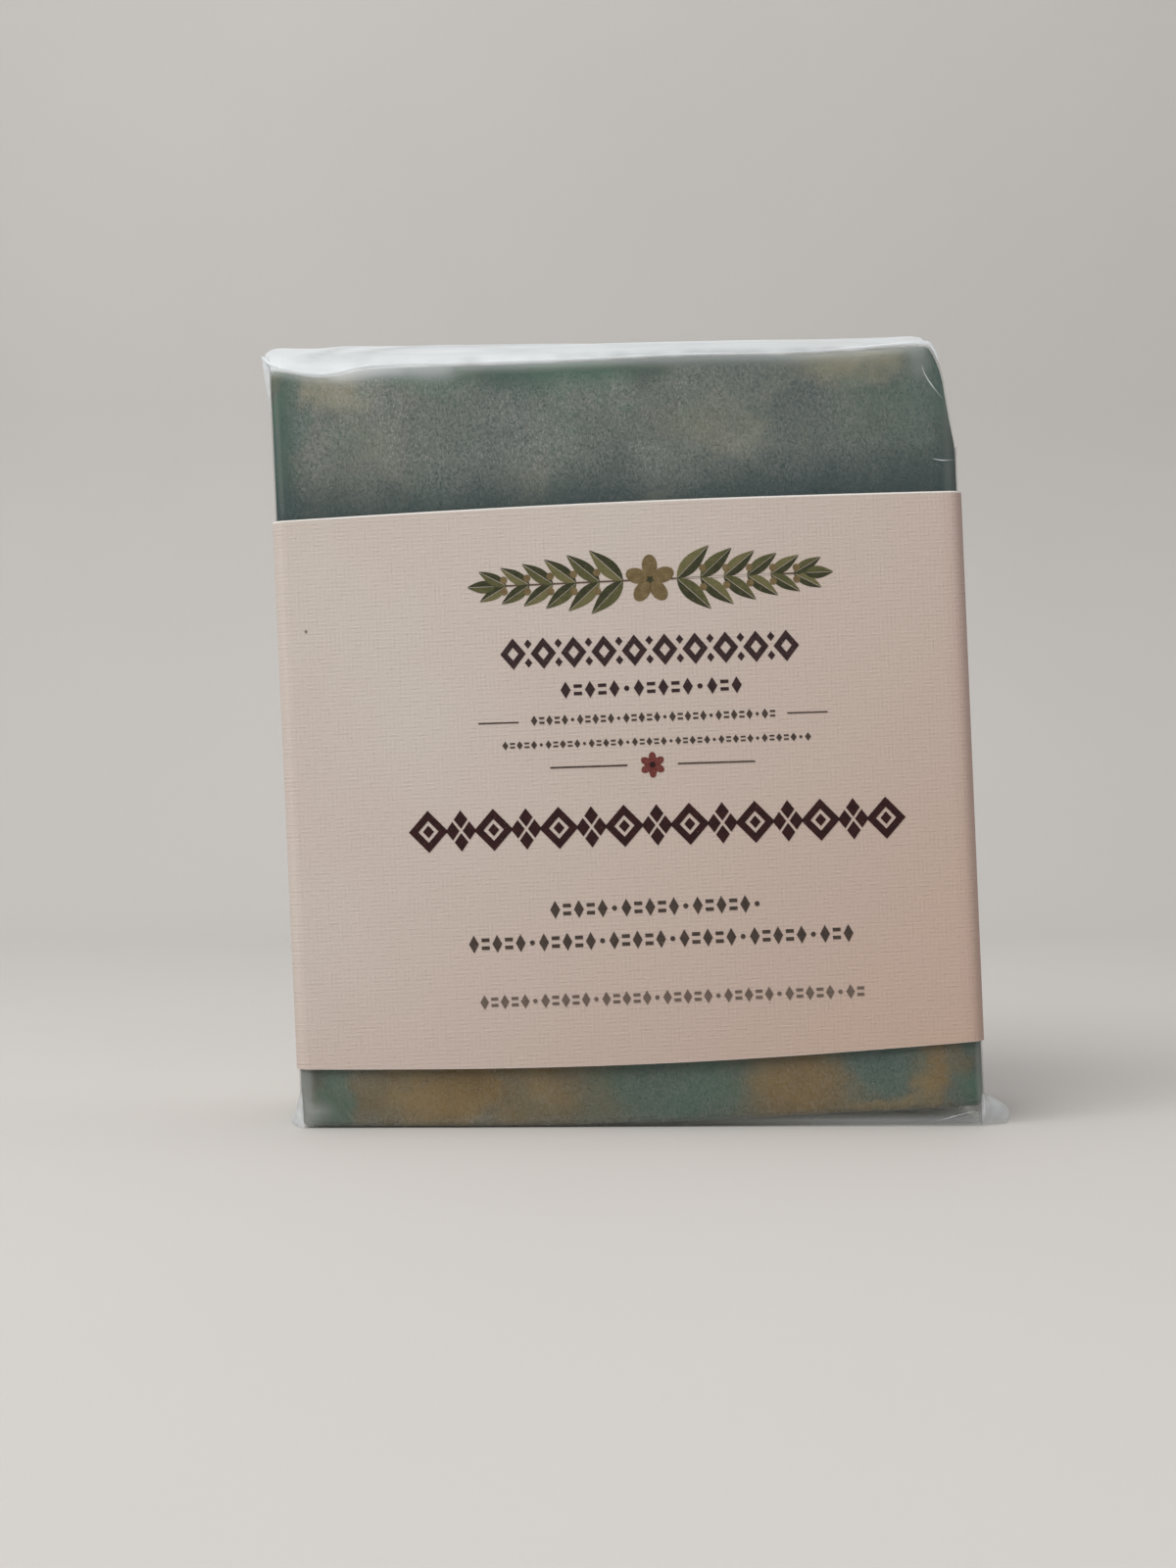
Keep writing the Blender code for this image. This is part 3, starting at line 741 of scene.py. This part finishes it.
def film_state(part, x, y, z, share):
    """The film's lift in mm, its whiteness and its looseness at a point of the wrap, given in mm."""
    if part == "roof":
        return roof_state(x, y, share)
    if part == "fold_front":
        white = 0.92 - 0.30 * smooth(-20, 10, x) + 0.25 * waver(x * 0.35, 0, 7.0)
        # Where the crease hangs over the front, the painted highlight keeps the fold's lower part white.
        return 0.0, white * smooth(38.2, 35.5, x) * (1 - 0.55 * share * (1 - hanging(x))), 0.6
    if part == "front":
        down = front_edge(x * MM) / MM - z
        lift = 0.08 * waver(x * 0.12, z * 0.2, 5.0) * smooth(0.5, 3.0, down)
        return low_front_state(x, z, lift) if z < 30 else high_front_state(x, z, lift, down)
    if part == "back":
        ridge = 1 - min(abs(waver(x * 0.08, z * 0.08, 4.2)) * 3.2, 1.0)
        lift = 0.12 * ridge * smooth(84, 80, z) * smooth(0, 4, z)
        return lift, 0.0, 0.5 + 0.5 * waver(x * 0.1, z * 0.1, 9.0)
    if part == "bottom":
        return 0.0, 0.35, 1.0
    if part == "fold_low":
        return 0.0, 0.12 + 0.30 * smooth(-5, 30, x) + 0.3 * smooth(-34, -38, x), 0.6
    return 0.0, 0.5, 0.6


def film_push(part, x, share, lift):
    """The way that a point of the wrap moves, in mm."""
    if part == "roof":
        flare = smooth(-36.9, -38.19, x) * smooth(0.32, 0.03, share)
        sink = 0.26 * smooth(-29, -37, x) * smooth(0.1, 0.5, share)
        return (-0.92 * flare, 0, lift * (1 - flare) + 0.3 * flare - sink)
    if part == "front":
        return (0, -0.8 * max(lift, -0.1), 0)
    if part == "back":
        return (0, min(lift, 0.1), 0)
    return (0, 0, 0)


def film_sheet():
    """The film as one fine sheet over the CAD wrap's outer face, with its creases and its closed ends."""
    verts, fold, loose = [], [], []
    places = stations(HALF_WIDTH, 190, (0.05, 0.15, 0.3))
    for x in places:
        section = wrap_section(x)
        for y, z, part, share in section:
            lift, white, free = film_state(part, x / MM, y / MM, z / MM, share)
            push = film_push(part, x / MM, share, lift)
            verts.append(tuple(at + by * MM for at, by in zip((x, y, z), push)))
            fold.append(clamp(white))
            loose.append(clamp(free))
    count = len(section)
    faces = tube_faces(len(places), count)
    # The ends, each closed by rings that shrink towards a line at half depth.
    for row, turn_over in ((0, False), (len(places) - 1, True)):
        x = places[row]
        ring = [row * count + i for i in range(count)]
        for inset in (0.25, 0.55, 0.85):
            following = []
            for i in range(count):
                vy, vz = verts[row * count + i][1:]
                middle = min(max(vz, 14 * MM), 68 * MM if x > 0 else 74 * MM)
                following.append(len(verts))
                verts.append((x, mix(vy, 0, inset), mix(vz, middle, inset)))
                fold.append(0.16 + 0.22 * (1 - inset) * smooth(12, 3, max(vz / MM, 0.0)))
                loose.append(0.8)
            for i in range(count):
                j = (i + 1) % count
                quad = (ring[i], ring[j], following[j], following[i])
                faces.append(quad[::-1] if turn_over else quad)
            ring = following
        faces.append(tuple(ring[::-1] if turn_over else ring))
    made = film_piece("film_sheet", verts, faces, fold, loose)
    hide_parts("film_wrap")


def sheet_patch(name, corners, rows, columns, white, thick_edge=0.5):
    """A flat fold of film between four corners given in turn, its last side a free, pressed edge."""
    verts, fold = [], []
    a, b, c, d = (Vector(corner) for corner in corners)
    for i in range(rows + 1):
        s = i / rows
        for j in range(columns + 1):
            t = j / columns
            point = (a * (1 - s) + d * s) * (1 - t) + (b * (1 - s) + c * s) * t
            verts.append(tuple(point))
            cloud = 0.6 * white * noise.noise(point / (6 * MM))
            pressed = thick_edge * smooth(0.93, 1.0, s) * smooth(0.0, 0.1, min(t, 1 - t))
            fold.append(max(white + cloud, pressed))
    film_piece(name, verts, sheet_faces(rows, columns), fold)


def side_folds():
    """The parcel folds on the left and right faces, as thin layers over the closed ends."""
    near = HALF_DEPTH - 0.9 * MM
    reach = 1.4 * HALF_DEPTH
    tip = 1.5 * MM
    point = 0.05 * MM
    for side, label in ((-1, "left"), (1, "right")):
        face = side * (HALF_WIDTH + 0.03 * MM)
        out = side * 0.07 * MM
        top = bar_top(side * BAR_WIDTH / 2) + (2.2 if side < 0 else -0.8) * MM
        low = floor_height(face) + 0.5 * MM
        wing_top, wing_low = top - reach * 0.7, low + reach * 0.7
        for part, layer, outline in (
            ("back_wing", 0, [(near, low), (near, top), (-tip, wing_top), (-tip, wing_low)]),
            ("front_wing", 1, [(-near, low), (-near, top), (tip, wing_top), (tip, wing_low)]),
            ("roof_fold", 2, [(-near, top), (near, top), (point, top - reach), (-point, top - reach)]),
            ("floor_fold", 2.5, [(-near, low), (near, low), (point, low + reach), (-point, low + reach)]),
        ):
            corners = [(face + layer * out, y, z) for y, z in outline]
            sheet_patch(f"film_{part}_{label}", corners, rows=14, columns=14, white=0.2)


def along_curve(points, share):
    """A point on a smooth curve through points, at share of the way along."""
    last = len(points) - 1
    place = clamp(share) * last
    index = min(int(place), last - 1)
    t = place - index
    p = [Vector(points[min(max(i, 0), last)]) for i in range(index - 1, index + 3)]
    return 0.5 * (
        2 * p[1] + (p[2] - p[0]) * t + (2 * p[0] - 5 * p[1] + 4 * p[2] - p[3]) * t**2
        + (3 * p[1] - p[0] - 3 * p[2] + p[3]) * t**3
    )


def ear(name, front, nose, back, puff, milk):
    """A pleat's point at a corner: film from the front line round the nose to the back line, all in mm."""
    rows, columns = 22, 20
    verts, fold = [], []
    for i in range(rows + 1):
        s = i / rows
        start, tip, end = (along_curve(line, s) for line in (front, nose, back))
        for j in range(columns + 1):
            t = 2 * j / columns - 1
            point = start.lerp(tip, 1 + t) if t <= 0 else tip.lerp(end, t)
            swell = puff * math.sin(math.pi * min(max(s, 0.02), 0.98)) * (1 - abs(2 * abs(t) - 1) ** 2)
            point = point + Vector((0, -swell if t < 0 else swell, 0.3 * swell))
            ripple = waver(point.x * 0.9, point.y * 0.5, point.z * 0.9)
            verts.append(tuple(point * MM))
            edge = smooth(0.22, 0.0, abs(t))
            fade = smooth(1.0, 0.25, t) * smooth(-0.5, 0.6, s)
            pressed = max(0.95 * edge, 0.7 * smooth(0.06, 0.0, 1 - s)) * smooth(-0.1, 0.5, s)
            fold.append(min(1.0, max(mix(0.12, milk + 0.25 * ripple, fade), pressed)))
    film_piece(name, verts, sheet_faces(rows, columns), fold)


def film_ears():
    """Three pleats at the front's corners and three smaller ones at the back's."""
    face = 38.15
    for end, label, share, ridge in ((-1, "front", 1.0, 88.3), (1, "back", 0.75, 87.2)):
        for corner, front, nose, back, puff, milk in (
            (
                "top_left",
                [(-face, 0.15, 79.8), (-face, 0.05, 82.4), (-face, 0.0, 84.75)],
                [(-38.3, 0.3, 79.9), (-38.75, 0.6, 83.3), (-39.1, 1.0, 86.35)],
                [(-face, 0.3, 79.6), (-face, 2.8, 83.4), (-38.15, 7.5, ridge)],
                0.0, 0.8,
            ), (
                "low_left",
                [(-37.95, -0.06, 3.6), (-37.9, -0.06, 1.4), (-37.9, 0.0, -0.32)],
                [
                    (-38.25, 0.6, 3.7), (-38.85, 1.2, 1.9), (-39.45, 1.6, 0.55), (-39.4, 1.7, 0.0),
                    (-38.9, 1.5, -0.32),
                ],
                [(-face, 0.7, 3.7), (-face, 4.5, 1.6), (-face, 8.5, -0.34)],
                0.1, 0.76,
            ), (
                "low_right",
                [(37.85, -0.08, 0.4), (37.8, -0.06, -1.4), (37.8, 0.0, -3.05)],
                [
                    (38.3, 1.6, 0.3), (39.7, 2.2, -0.55), (40.9, 2.6, -1.45), (41.45, 2.8, -2.4),
                    (41.0, 2.6, -3.38),
                ],
                [(face, 1.8, 0.5), (face, 6.0, -0.9), (face, 10.0, -3.2)],
                0.35, 0.7,
            ),
        ):
            # In these points x grows outwards from the side face by share, and y counts inwards.
            lines = [
                [(math.copysign(face + (abs(x) - face) * share, x), end * (12.75 - y), z) for x, y, z in line]
                for line in (front, nose, back)
            ]
            ear(f"film_ear_{corner}_{label}", *lines, puff, milk)


def bead(name, points, radius, milk, seed):
    """A pressed crease standing out of the film: a fine ridge along points in mm, tapering at both ends."""
    curve = [along_curve(points, i / (len(points) * 9)) for i in range(len(points) * 9 + 1)]
    verts, fold = [], []
    sides = 8
    for i, point in enumerate(curve):
        share = i / (len(curve) - 1)
        ahead = (curve[min(i + 1, len(curve) - 1)] - curve[max(i - 1, 0)]).normalized()
        across = ahead.cross(Vector((0, 1, 0))).normalized()
        deep = across.cross(ahead).normalized()
        uneven = 1 + 0.7 * waver(point.x * 0.6, point.z * 0.6, seed)
        size = radius * uneven * max(0.15, math.sin(math.pi * share) ** 0.6)
        for k in range(sides):
            angle = 2 * math.pi * k / sides
            out = across * size * math.cos(angle) + deep * 0.6 * size * math.sin(angle)
            verts.append(tuple((point + out) * MM))
            fold.append(min(1.0, milk * (0.5 + 0.5 * math.sin(math.pi * share)) * (0.6 + 0.4 * uneven)))
    faces = tube_faces(len(curve), sides, turned=True)
    faces.append(tuple(range(sides - 1, -1, -1)))
    faces.append(tuple(range(len(verts) - sides, len(verts))))
    film_piece(f"film_crease_{name}", verts, faces, fold)


def film_creases():
    """The sharp bright creases: along the front's top edge, at the ears and round the worn corner."""

    def edge(*places):
        return [(x, -12.95, front_edge(x * MM) / MM + lift) for x, lift in places]

    top = edge(
        (-38.0, 0.2), (-36.0, 0.05), (-33.5, 0.1), (-31.0, 0.05), (-27.5, 0.12), (-24.0, 0.1), (-18.0, 0.1),
    )
    top_far = edge(*((x, 0.06) for x in (-22, -12, -2, 8, 18, 27)))
    top_right = edge((24, 0.05), (28, 0.1), (31.5, 0.15), (34.2, 0.12), (35.5, 0.0))
    knuckle = [(34.6, -12.8, 84.45), (35.6, -12.8, 84.15), (36.25, -12.8, 83.3), (36.55, -12.8, 82.3)]
    corner = [(34.7, -12.99, 81.9), (35.0, -13.0, 80.8), (35.8, -13.02, 79.4), (36.9, -13.0, 77.9)]
    low_fold = [(38.0, -12.8, -2.1), (36.8, -12.98, -1.6), (34.0, -13.0, -2.15), (31.5, -12.98, -2.7)]
    for name, points, radius, milk, seed in (
        ("top", top, 0.22, 0.95, 1.0),
        ("top_far", top_far, 0.12, 0.8, 2.0),
        ("top_right", top_right, 0.2, 0.95, 3.0),
        ("knuckle", knuckle, 0.26, 0.95, 3.5),
        ("ear", [(-39.1, -11.9, 86.4), (-38.2, -12.5, 85.4), (-37.0, -12.9, 84.7)], 0.2, 0.95, 4.0),
        ("corner", corner, 0.06, 0.5, 7.0),
        ("side", [(35.4, -13.0, 71.35), (36.6, -13.02, 71.1), (38.05, -12.9, 71.15)], 0.05, 0.7, 8.0),
        ("low_left", [(-38.0, -12.7, 3.9), (-38.2, -12.6, 1.6), (-38.05, -12.7, -0.2)], 0.07, 0.7, 9.0),
        ("low_right", [(38.1, -12.6, 0.4), (38.15, -12.6, -1.0), (38.0, -12.75, -2.15)], 0.07, 0.7, 10.0),
        ("low_fold", low_fold, 0.05, 0.4, 11.0),
    ):
        bead(name, points, radius, milk, seed)


def back_flap():
    """The sheet's free end lying on the back, under the roof."""
    reach = HALF_WIDTH - FLAP_SIDE
    y, free_y = HALF_DEPTH + 0.36 * MM, HALF_DEPTH + 0.44 * MM
    top, edge = BAR_HEIGHT - 0.6 * MM, BAR_HEIGHT - FLAP_DROP
    corners = [(reach, y, top), (-reach, y, top), (-reach, free_y, edge), (reach, free_y, edge)]
    sheet_patch("film_back_flap", corners, rows=24, columns=40, white=0.16)


# The paper band


def band_line():
    """The band's outer line seen from above, as points (x, y) from the inner end of its lap to the outer."""
    points = [(BAND_LAP / 2, BAND_HALF_Y)]
    for side, end, start in ((-1, 1, 90), (-1, -1, 180), (1, -1, 270), (1, 1, 0)):
        cx, cy = side * (BAND_HALF_X - BAND_FOLD), end * (BAND_HALF_Y - BAND_FOLD)
        for step in range(13):
            angle = math.radians(start + 90 * step / 12)
            points.append((cx + BAND_FOLD * math.cos(angle), cy + BAND_FOLD * math.sin(angle)))
        if end < 0 and side < 0:
            for i in range(1, 60):
                share = i / 60
                points.append((mix(cx, -cx, share), -BAND_HALF_Y - BAND_BULGE * math.sin(math.pi * share)))
        elif side < 0 or end < 0:
            points += [(cx + side * BAND_FOLD, mix(cy, -cy, i / 8)) for i in range(1, 8)]
    lap_start = BAND_LAP / 2 + 7.5 * MM
    for i in range(13):
        share = i / 12
        points.append((lap_start - 6 * MM * share, BAND_HALF_Y + LAP_STEP * smooth(0, 1, share)))
    points.append((-BAND_LAP / 2, BAND_HALF_Y + LAP_STEP))
    return points


def front_swell(x, y):
    if y > -HALF_DEPTH:
        return 0.0
    return math.sin(math.pi * clamp(x / (2 * HALF_WIDTH) + 0.5))


def buckle(x, z):
    """Slow unevenness of the paper."""
    return 0.05 * MM * waver(x / MM * 0.05, z / MM * 0.07, 1.5) - 0.05 * MM


def band_front(x, z):
    """Depth of the paper's front surface at x and z, in the bar's frame."""
    flat = BAND_HALF_X - BAND_FOLD
    share = clamp((x + flat) / (2 * flat))
    return -BAND_HALF_Y - BAND_BULGE * math.sin(math.pi * share) + buckle(x, z)


def paper_band():
    """Both faces of the strip and its cut edges. The attribute cut marks a painted highlight along the cut
    edges, full at the top and faint at the bottom.
    """
    line = [Vector(point) for point in band_line()]
    rows = [0.0, 0.0018] + [i / 44 for i in range(1, 44)] + [0.9962, 0.9984, 1.0]
    verts, faces, cut = [], [], []
    for depth in (0.0, PAPER):
        for index, point in enumerate(line):
            along = (line[min(index + 1, len(line) - 1)] - line[max(index - 1, 0)]).normalized()
            normal = Vector((along.y, -along.x))
            if normal.dot(point) < 0:
                normal = -normal
            place = point - normal * depth
            x, y = point
            low = BAND_LOW - LOWER_BOW * front_swell(x, y)
            high = BAND_LOW + BAND_HEIGHT + UPPER_BOW * front_swell(x, y)
            for up in rows:
                z = mix(low, high, up)
                flare = math.copysign(BAND_FLARE * up, x) if abs(x) > BAR_WIDTH / 4 else 0.0
                wave = buckle(x, z) if y < -HALF_DEPTH else 0.0
                verts.append((place.x + flare, place.y + wave, z))
                # Painted highlight: full on the top cut edge, faint on the bottom one.
                cut.append(1.0 if up > 0.9982 else 0.25 if up < 0.0015 else 0.0)
    per = len(rows)
    columns = len(line)
    base = columns * per
    for c in range(columns - 1):
        for a in range(c * per, c * per + per - 1):
            faces.append((a, a + per, a + per + 1, a + 1))
            faces.append((base + a, base + a + 1, base + a + per + 1, base + a + per))
        for r in (0, per - 1):
            a = c * per + r
            quad = (a, base + a, base + a + per, a + per)
            faces.append(quad if r == 0 else quad[::-1])
    for c in (0, columns - 1):
        for a in range(c * per, c * per + per - 1):
            quad = (a, a + 1, base + a + 1, base + a)
            faces.append(quad if c == 0 else quad[::-1])
    made = piece("label_band", verts, faces, PAPER_LOOK, "paper", {"cut": cut})
    made.data.set_sharp_from_angle(angle=math.radians(45))
    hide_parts("paper_band")


# The print: plain shapes of the maker's own, with no lettering


class Print:
    """Collects flat shapes that lie on the band's front, one mesh for each ink. Places are in millimetres."""

    def __init__(self):
        self.shapes = {}

    def shape(self, ink, outline):
        """Keeps an outline that runs anticlockwise, seen from the front."""
        self.shapes.setdefault(ink, []).append(outline)

    def oval(self, ink, x, z, half_x, half_z, turn=0.0, sides=14):
        c, s = math.cos(turn), math.sin(turn)
        ring = []
        for i in range(sides):
            angle = 2 * math.pi * i / sides
            u, v = half_x * math.cos(angle), half_z * math.sin(angle)
            ring.append((x + u * c - v * s, z + u * s + v * c))
        self.shape(ink, ring)

    def bar(self, ink, x0, x1, z, thick, slope=0.0):
        low, high = z - thick / 2, z + thick / 2
        self.shape(ink, [(x0, low), (x1, low + slope), (x1, high + slope), (x0, high)])

    def diamond(self, ink, x, z, half_x, half_z):
        self.shape(ink, lozenge(x, z, half_x, half_z))

    def make(self):
        """Fans of triangles about each shape's middle, with edges fine enough to follow the paper."""
        for order, (ink, shapes) in enumerate(self.shapes.items()):
            verts, faces = [], []
            for outline in shapes:
                cx = sum(p[0] for p in outline) / len(outline)
                cz = sum(p[1] for p in outline) / len(outline)
                dense = []
                for (x0, z0), (x1, z1) in zip(outline, outline[1:] + outline[:1]):
                    parts = max(1, math.ceil(math.hypot(x1 - x0, z1 - z0) / 1.5))
                    dense += [(mix(x0, x1, i / parts), mix(z0, z1, i / parts)) for i in range(parts)]
                start = len(verts)
                for x, z in dense + [(cx, cz)]:
                    y = band_front(x * MM, z * MM) - 0.02 * MM - 0.004 * MM * order
                    verts.append((x * MM, y, z * MM))
                middle = start + len(dense)
                for i in range(len(dense)):
                    faces.append((start + i, start + (i + 1) % len(dense), middle))
            colour, second, worn = INKS[ink]
            look = ink_material(f"{ink}_ink", colour, worn, second)
            piece(f"print_{ink}", verts, faces, look, "paper", soft=False)


def lozenge(x, z, half_x, half_z):
    return [(x - half_x, z), (x, z - half_z), (x + half_x, z), (x, z + half_z)]


def leaf(sheet, x, z, length, width, angle, tone):
    """A rounded leaf in two half blades with a pale vein left between them."""
    c, s = math.cos(angle), math.sin(angle)

    def at(u, v):
        return (x + u * c - v * s, z + u * s + v * c)

    steps = 9
    for half, ink in ((1, tone), (-1, "leaf_dark")):
        ring = []
        for i in range(steps + 1):
            t = i / steps
            bulge = math.sin(math.pi * t**0.8) * width * (0.5 if half > 0 else 0.46)
            ring.append(at(length * t, half * (bulge + 0.03)))
        ring += [at(length * (1 - i / 3), half * 0.035) for i in range(1, 3)]
        sheet.shape(ink, ring if half < 0 else ring[::-1])


def garland(sheet, cx, cz):
    """A level garland of rounded leaves on each side of a small five-petalled flower."""
    sheet.bar("stem", cx - 17.5, cx + 17.5, cz, 0.2)
    for side in (-1, 1):
        for index in range(6):
            out = 3.0 + index * 2.6
            size = 5.1 - 0.32 * index
            for up in (1, -1):
                angle = math.radians(44 - 3 * index) * up
                if side < 0:
                    angle = math.pi - angle
                tone = "leaf_light" if (index + (up > 0)) % 2 else "leaf_mid"
                leaf(sheet, cx + side * out, cz, size, size * 0.37, angle, tone)
        leaf(sheet, cx + side * 17.2, cz, 3.2, 1.4, 0.0 if side > 0 else math.pi, "leaf_mid")
        for index in range(5):
            x = cx + side * (5.9 + index * 2.6)
            for up in (1, -1):
                sheet.oval("petal", x, cz + up * (1.05 - 0.1 * index), 0.42, 0.42, sides=10)
    flower(sheet, "petal", cx, cz, 5, 90, 1.55, 1.25, 0.86, 14)
    sheet.oval("leaf_dark", cx, cz, 0.62, 0.62)


def flower(sheet, ink, cx, cz, petals, start, out, long, wide, sides):
    """Oval petals round a middle, the first at start degrees."""
    for index in range(petals):
        angle = math.radians(start + 360 / petals * index)
        sheet.oval(ink, cx + out * math.cos(angle), cz + out * math.sin(angle), long, wide, angle, sides)


def ring_diamond(sheet, ink, x, z, half_x, half_z, open_share):
    """A lozenge with a lozenge left open inside it."""
    outer = lozenge(x, z, half_x, half_z)
    inner = [(mix(x, px, open_share), mix(z, pz, open_share)) for px, pz in outer]
    for i in range(4):
        j = (i + 1) % 4
        sheet.shape(ink, [outer[i], outer[j], inner[j], inner[i]])


def woven_row(sheet, ink, cx, cz, width, height, count):
    """A heavy border: open lozenges with a core, turn about with crosses of four small lozenges."""
    pitch = width / count
    for index in range(count):
        x = cx - width / 2 + pitch * (index + 0.5)
        z = cz + PRINT_SLOPE * (x - cx)
        if index % 2:
            for dx, dz in ((0, 1), (0, -1), (1, 0), (-1, 0)):
                sheet.diamond(ink, x + dx * pitch * 0.26, z + dz * height * 0.27, pitch * 0.21, height * 0.22)
        else:
            ring_diamond(sheet, ink, x, z, pitch * 0.60, height * 0.5, 0.52)
            sheet.diamond(ink, x, z, pitch * 0.17, height * 0.15)


def stitch_row(sheet, ink, x0, x1, z, tall, step):
    """A fine row of small lozenges, dashes and dots."""
    count = max(1, round((x1 - x0) / step))
    step = (x1 - x0) / count
    for index in range(count):
        x = x0 + (index + 0.5) * step
        level = z + PRINT_SLOPE * (x - (x0 + x1) / 2)
        kind = index % 6
        if kind == 5:
            sheet.oval(ink, x, level, step * 0.22, step * 0.22, sides=10)
        elif kind % 2:
            for up in (1, -1):
                sheet.bar(ink, x - step * 0.34, x + step * 0.34, level + up * tall * 0.22, tall * 0.2)
        else:
            sheet.diamond(ink, x, level, step * 0.42, tall * 0.5)


def print_on_band():
    sheet = Print()
    cx = 3.0
    garland(sheet, cx + 0.4, 59.2)
    for index in range(10):
        x = cx - 15.2 + index * 3.38
        z = 51.4 + PRINT_SLOPE * (x - cx)
        ring_diamond(sheet, "maroon", x, z, 1.42, 1.75, 0.42)
        if index < 9:
            sheet.diamond("maroon", x + 1.69, z + 1.05, 0.42, 0.52)
            sheet.diamond("maroon", x + 1.69, z - 1.05, 0.42, 0.52)
    stitch_row(sheet, "maroon", cx - 10.2, cx + 10.2, 47.2, 1.9, 1.36)
    stitch_row(sheet, "fine", cx - 13.6, cx + 13.8, 43.9, 1.15, 0.86)
    sheet.bar("fine", cx - 19.4, cx - 14.9, 44.0, 0.16, slope=-0.05)
    sheet.bar("fine", cx + 15.0, cx + 19.5, 43.7, 0.16, slope=-0.05)
    stitch_row(sheet, "fine", cx - 16.9, cx + 17.6, 41.2, 0.95, 0.8)
    sheet.bar("fine", cx - 11.6, cx - 3.0, 38.75, 0.18, slope=-0.1)
    sheet.bar("fine", cx + 2.6, cx + 11.2, 38.6, 0.18, slope=-0.1)
    flower(sheet, "red", cx - 0.2, 38.6, 6, 30, 0.82, 0.62, 0.42, 12)
    sheet.oval("title", cx - 0.2, 38.6, 0.34, 0.34, sides=10)
    woven_row(sheet, "title", cx, 31.9, 54.6, 4.7, 15)
    stitch_row(sheet, "fine", cx - 12.4, cx + 11.4, 22.8, 2.0, 1.32)
    stitch_row(sheet, "fine", cx - 21.6, cx + 21.4, 19.2, 2.0, 1.32)
    stitch_row(sheet, "pale", cx - 20.6, cx + 22.4, 12.7, 1.6, 1.12)
    sheet.make()


# The stage


def stage():
    """A pale floor that sweeps up into a pale backdrop."""
    s = Shader("pale_stage")
    tone = s.noise(0.004, 2.0, 0.5)
    colour = s.ramp(tone, (0.3, (0.585, 0.565, 0.540)), (0.7, (0.615, 0.595, 0.570)))
    s.set(colour=colour, roughness=s.step(s.noise(0.02, 2.0), 0.3, 0.7, 0.75, 0.9))
    curve_start, curve_round, steps = 0.30, 0.16, 16
    profile = [(-6.0, 0.0), (curve_start, 0.0)]
    for i in range(1, steps + 1):
        angle = math.radians(90 * i / steps)
        profile.append((curve_start + curve_round * math.sin(angle), curve_round * (1 - math.cos(angle))))
    profile.append((curve_start + curve_round, 1.4))
    below = 0.00002  # keeps the floor just clear of the film
    verts = [(x, y, z - below) for x in (-5.0, 5.0) for y, z in profile]
    mesh = bpy.data.meshes.new("stage_sweep")
    n = len(profile)
    mesh.from_pydata(verts, [], [(i, i + 1, n + i + 1, n + i) for i in range(n - 1)])
    mesh.materials.append(s.material)
    mesh.shade_smooth()
    made = bpy.data.objects.new("stage_sweep", mesh)
    bpy.context.scene.collection.objects.link(made)


def area_light(name, place, aim, size, power, colour):
    data = bpy.data.lights.new(name, "AREA")
    data.shape = "RECTANGLE"
    data.size, data.size_y = size
    data.energy = power
    data.color = colour
    light = bpy.data.objects.new(name, data)
    light.location = place
    light.rotation_euler = (Vector(aim) - Vector(place)).to_track_quat("-Z", "Y").to_euler()
    bpy.context.scene.collection.objects.link(light)


def lights():
    world = bpy.data.worlds.new("studio")
    bpy.context.scene.world = world
    world.use_nodes = True
    sky = world.node_tree.nodes["Background"].inputs
    sky["Color"].default_value = (0.88, 0.89, 0.91, 1)
    sky["Strength"].default_value = 0.31
    area_light("key_softbox", (-0.30, -0.42, 0.62), (0, 0, 0.06), (0.6, 0.5), 4.4, (1.0, 0.985, 0.965))
    area_light("top_softbox", (-0.10, 0.16, 0.75), (0, 0, 0.05), (0.7, 0.4), 1.0, (0.95, 0.975, 1.0))
    area_light("back_wash", (0.15, 0.0, 0.9), (0, 0.46, 0.35), (1.4, 0.4), 1.7, (1.0, 1.0, 1.0))


def camera():
    data = bpy.data.cameras.new("camera")
    data.sensor_fit = "AUTO"
    data.sensor_width = 36
    data.lens = 51.75
    data.clip_start = 0.01
    made = bpy.data.objects.new("camera", data)
    yaw, pitch, roll = math.radians(0.71), math.radians(0.05), math.radians(-0.28)
    level = Matrix.Rotation(yaw, 4, "Z") @ Matrix.Rotation(math.pi / 2 + pitch, 4, "X")
    place = Matrix.Translation(Vector((-2.04, -264.8, 38.2)) * MM)
    made.matrix_world = place @ level @ Matrix.Rotation(roll, 4, "Z")
    bpy.context.scene.collection.objects.link(made)
    bpy.context.scene.camera = made


def tape_look():
    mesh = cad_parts["band_tape"].data
    mesh.materials.clear()
    mesh.materials.append(tape_material())


camera()
tape_look()
soap_form()
film_sheet()
side_folds()
film_ears()
film_creases()
back_flap()
paper_band()
print_on_band()
stage()
lights()
bpy.context.scene.view_settings.view_transform = "Standard"
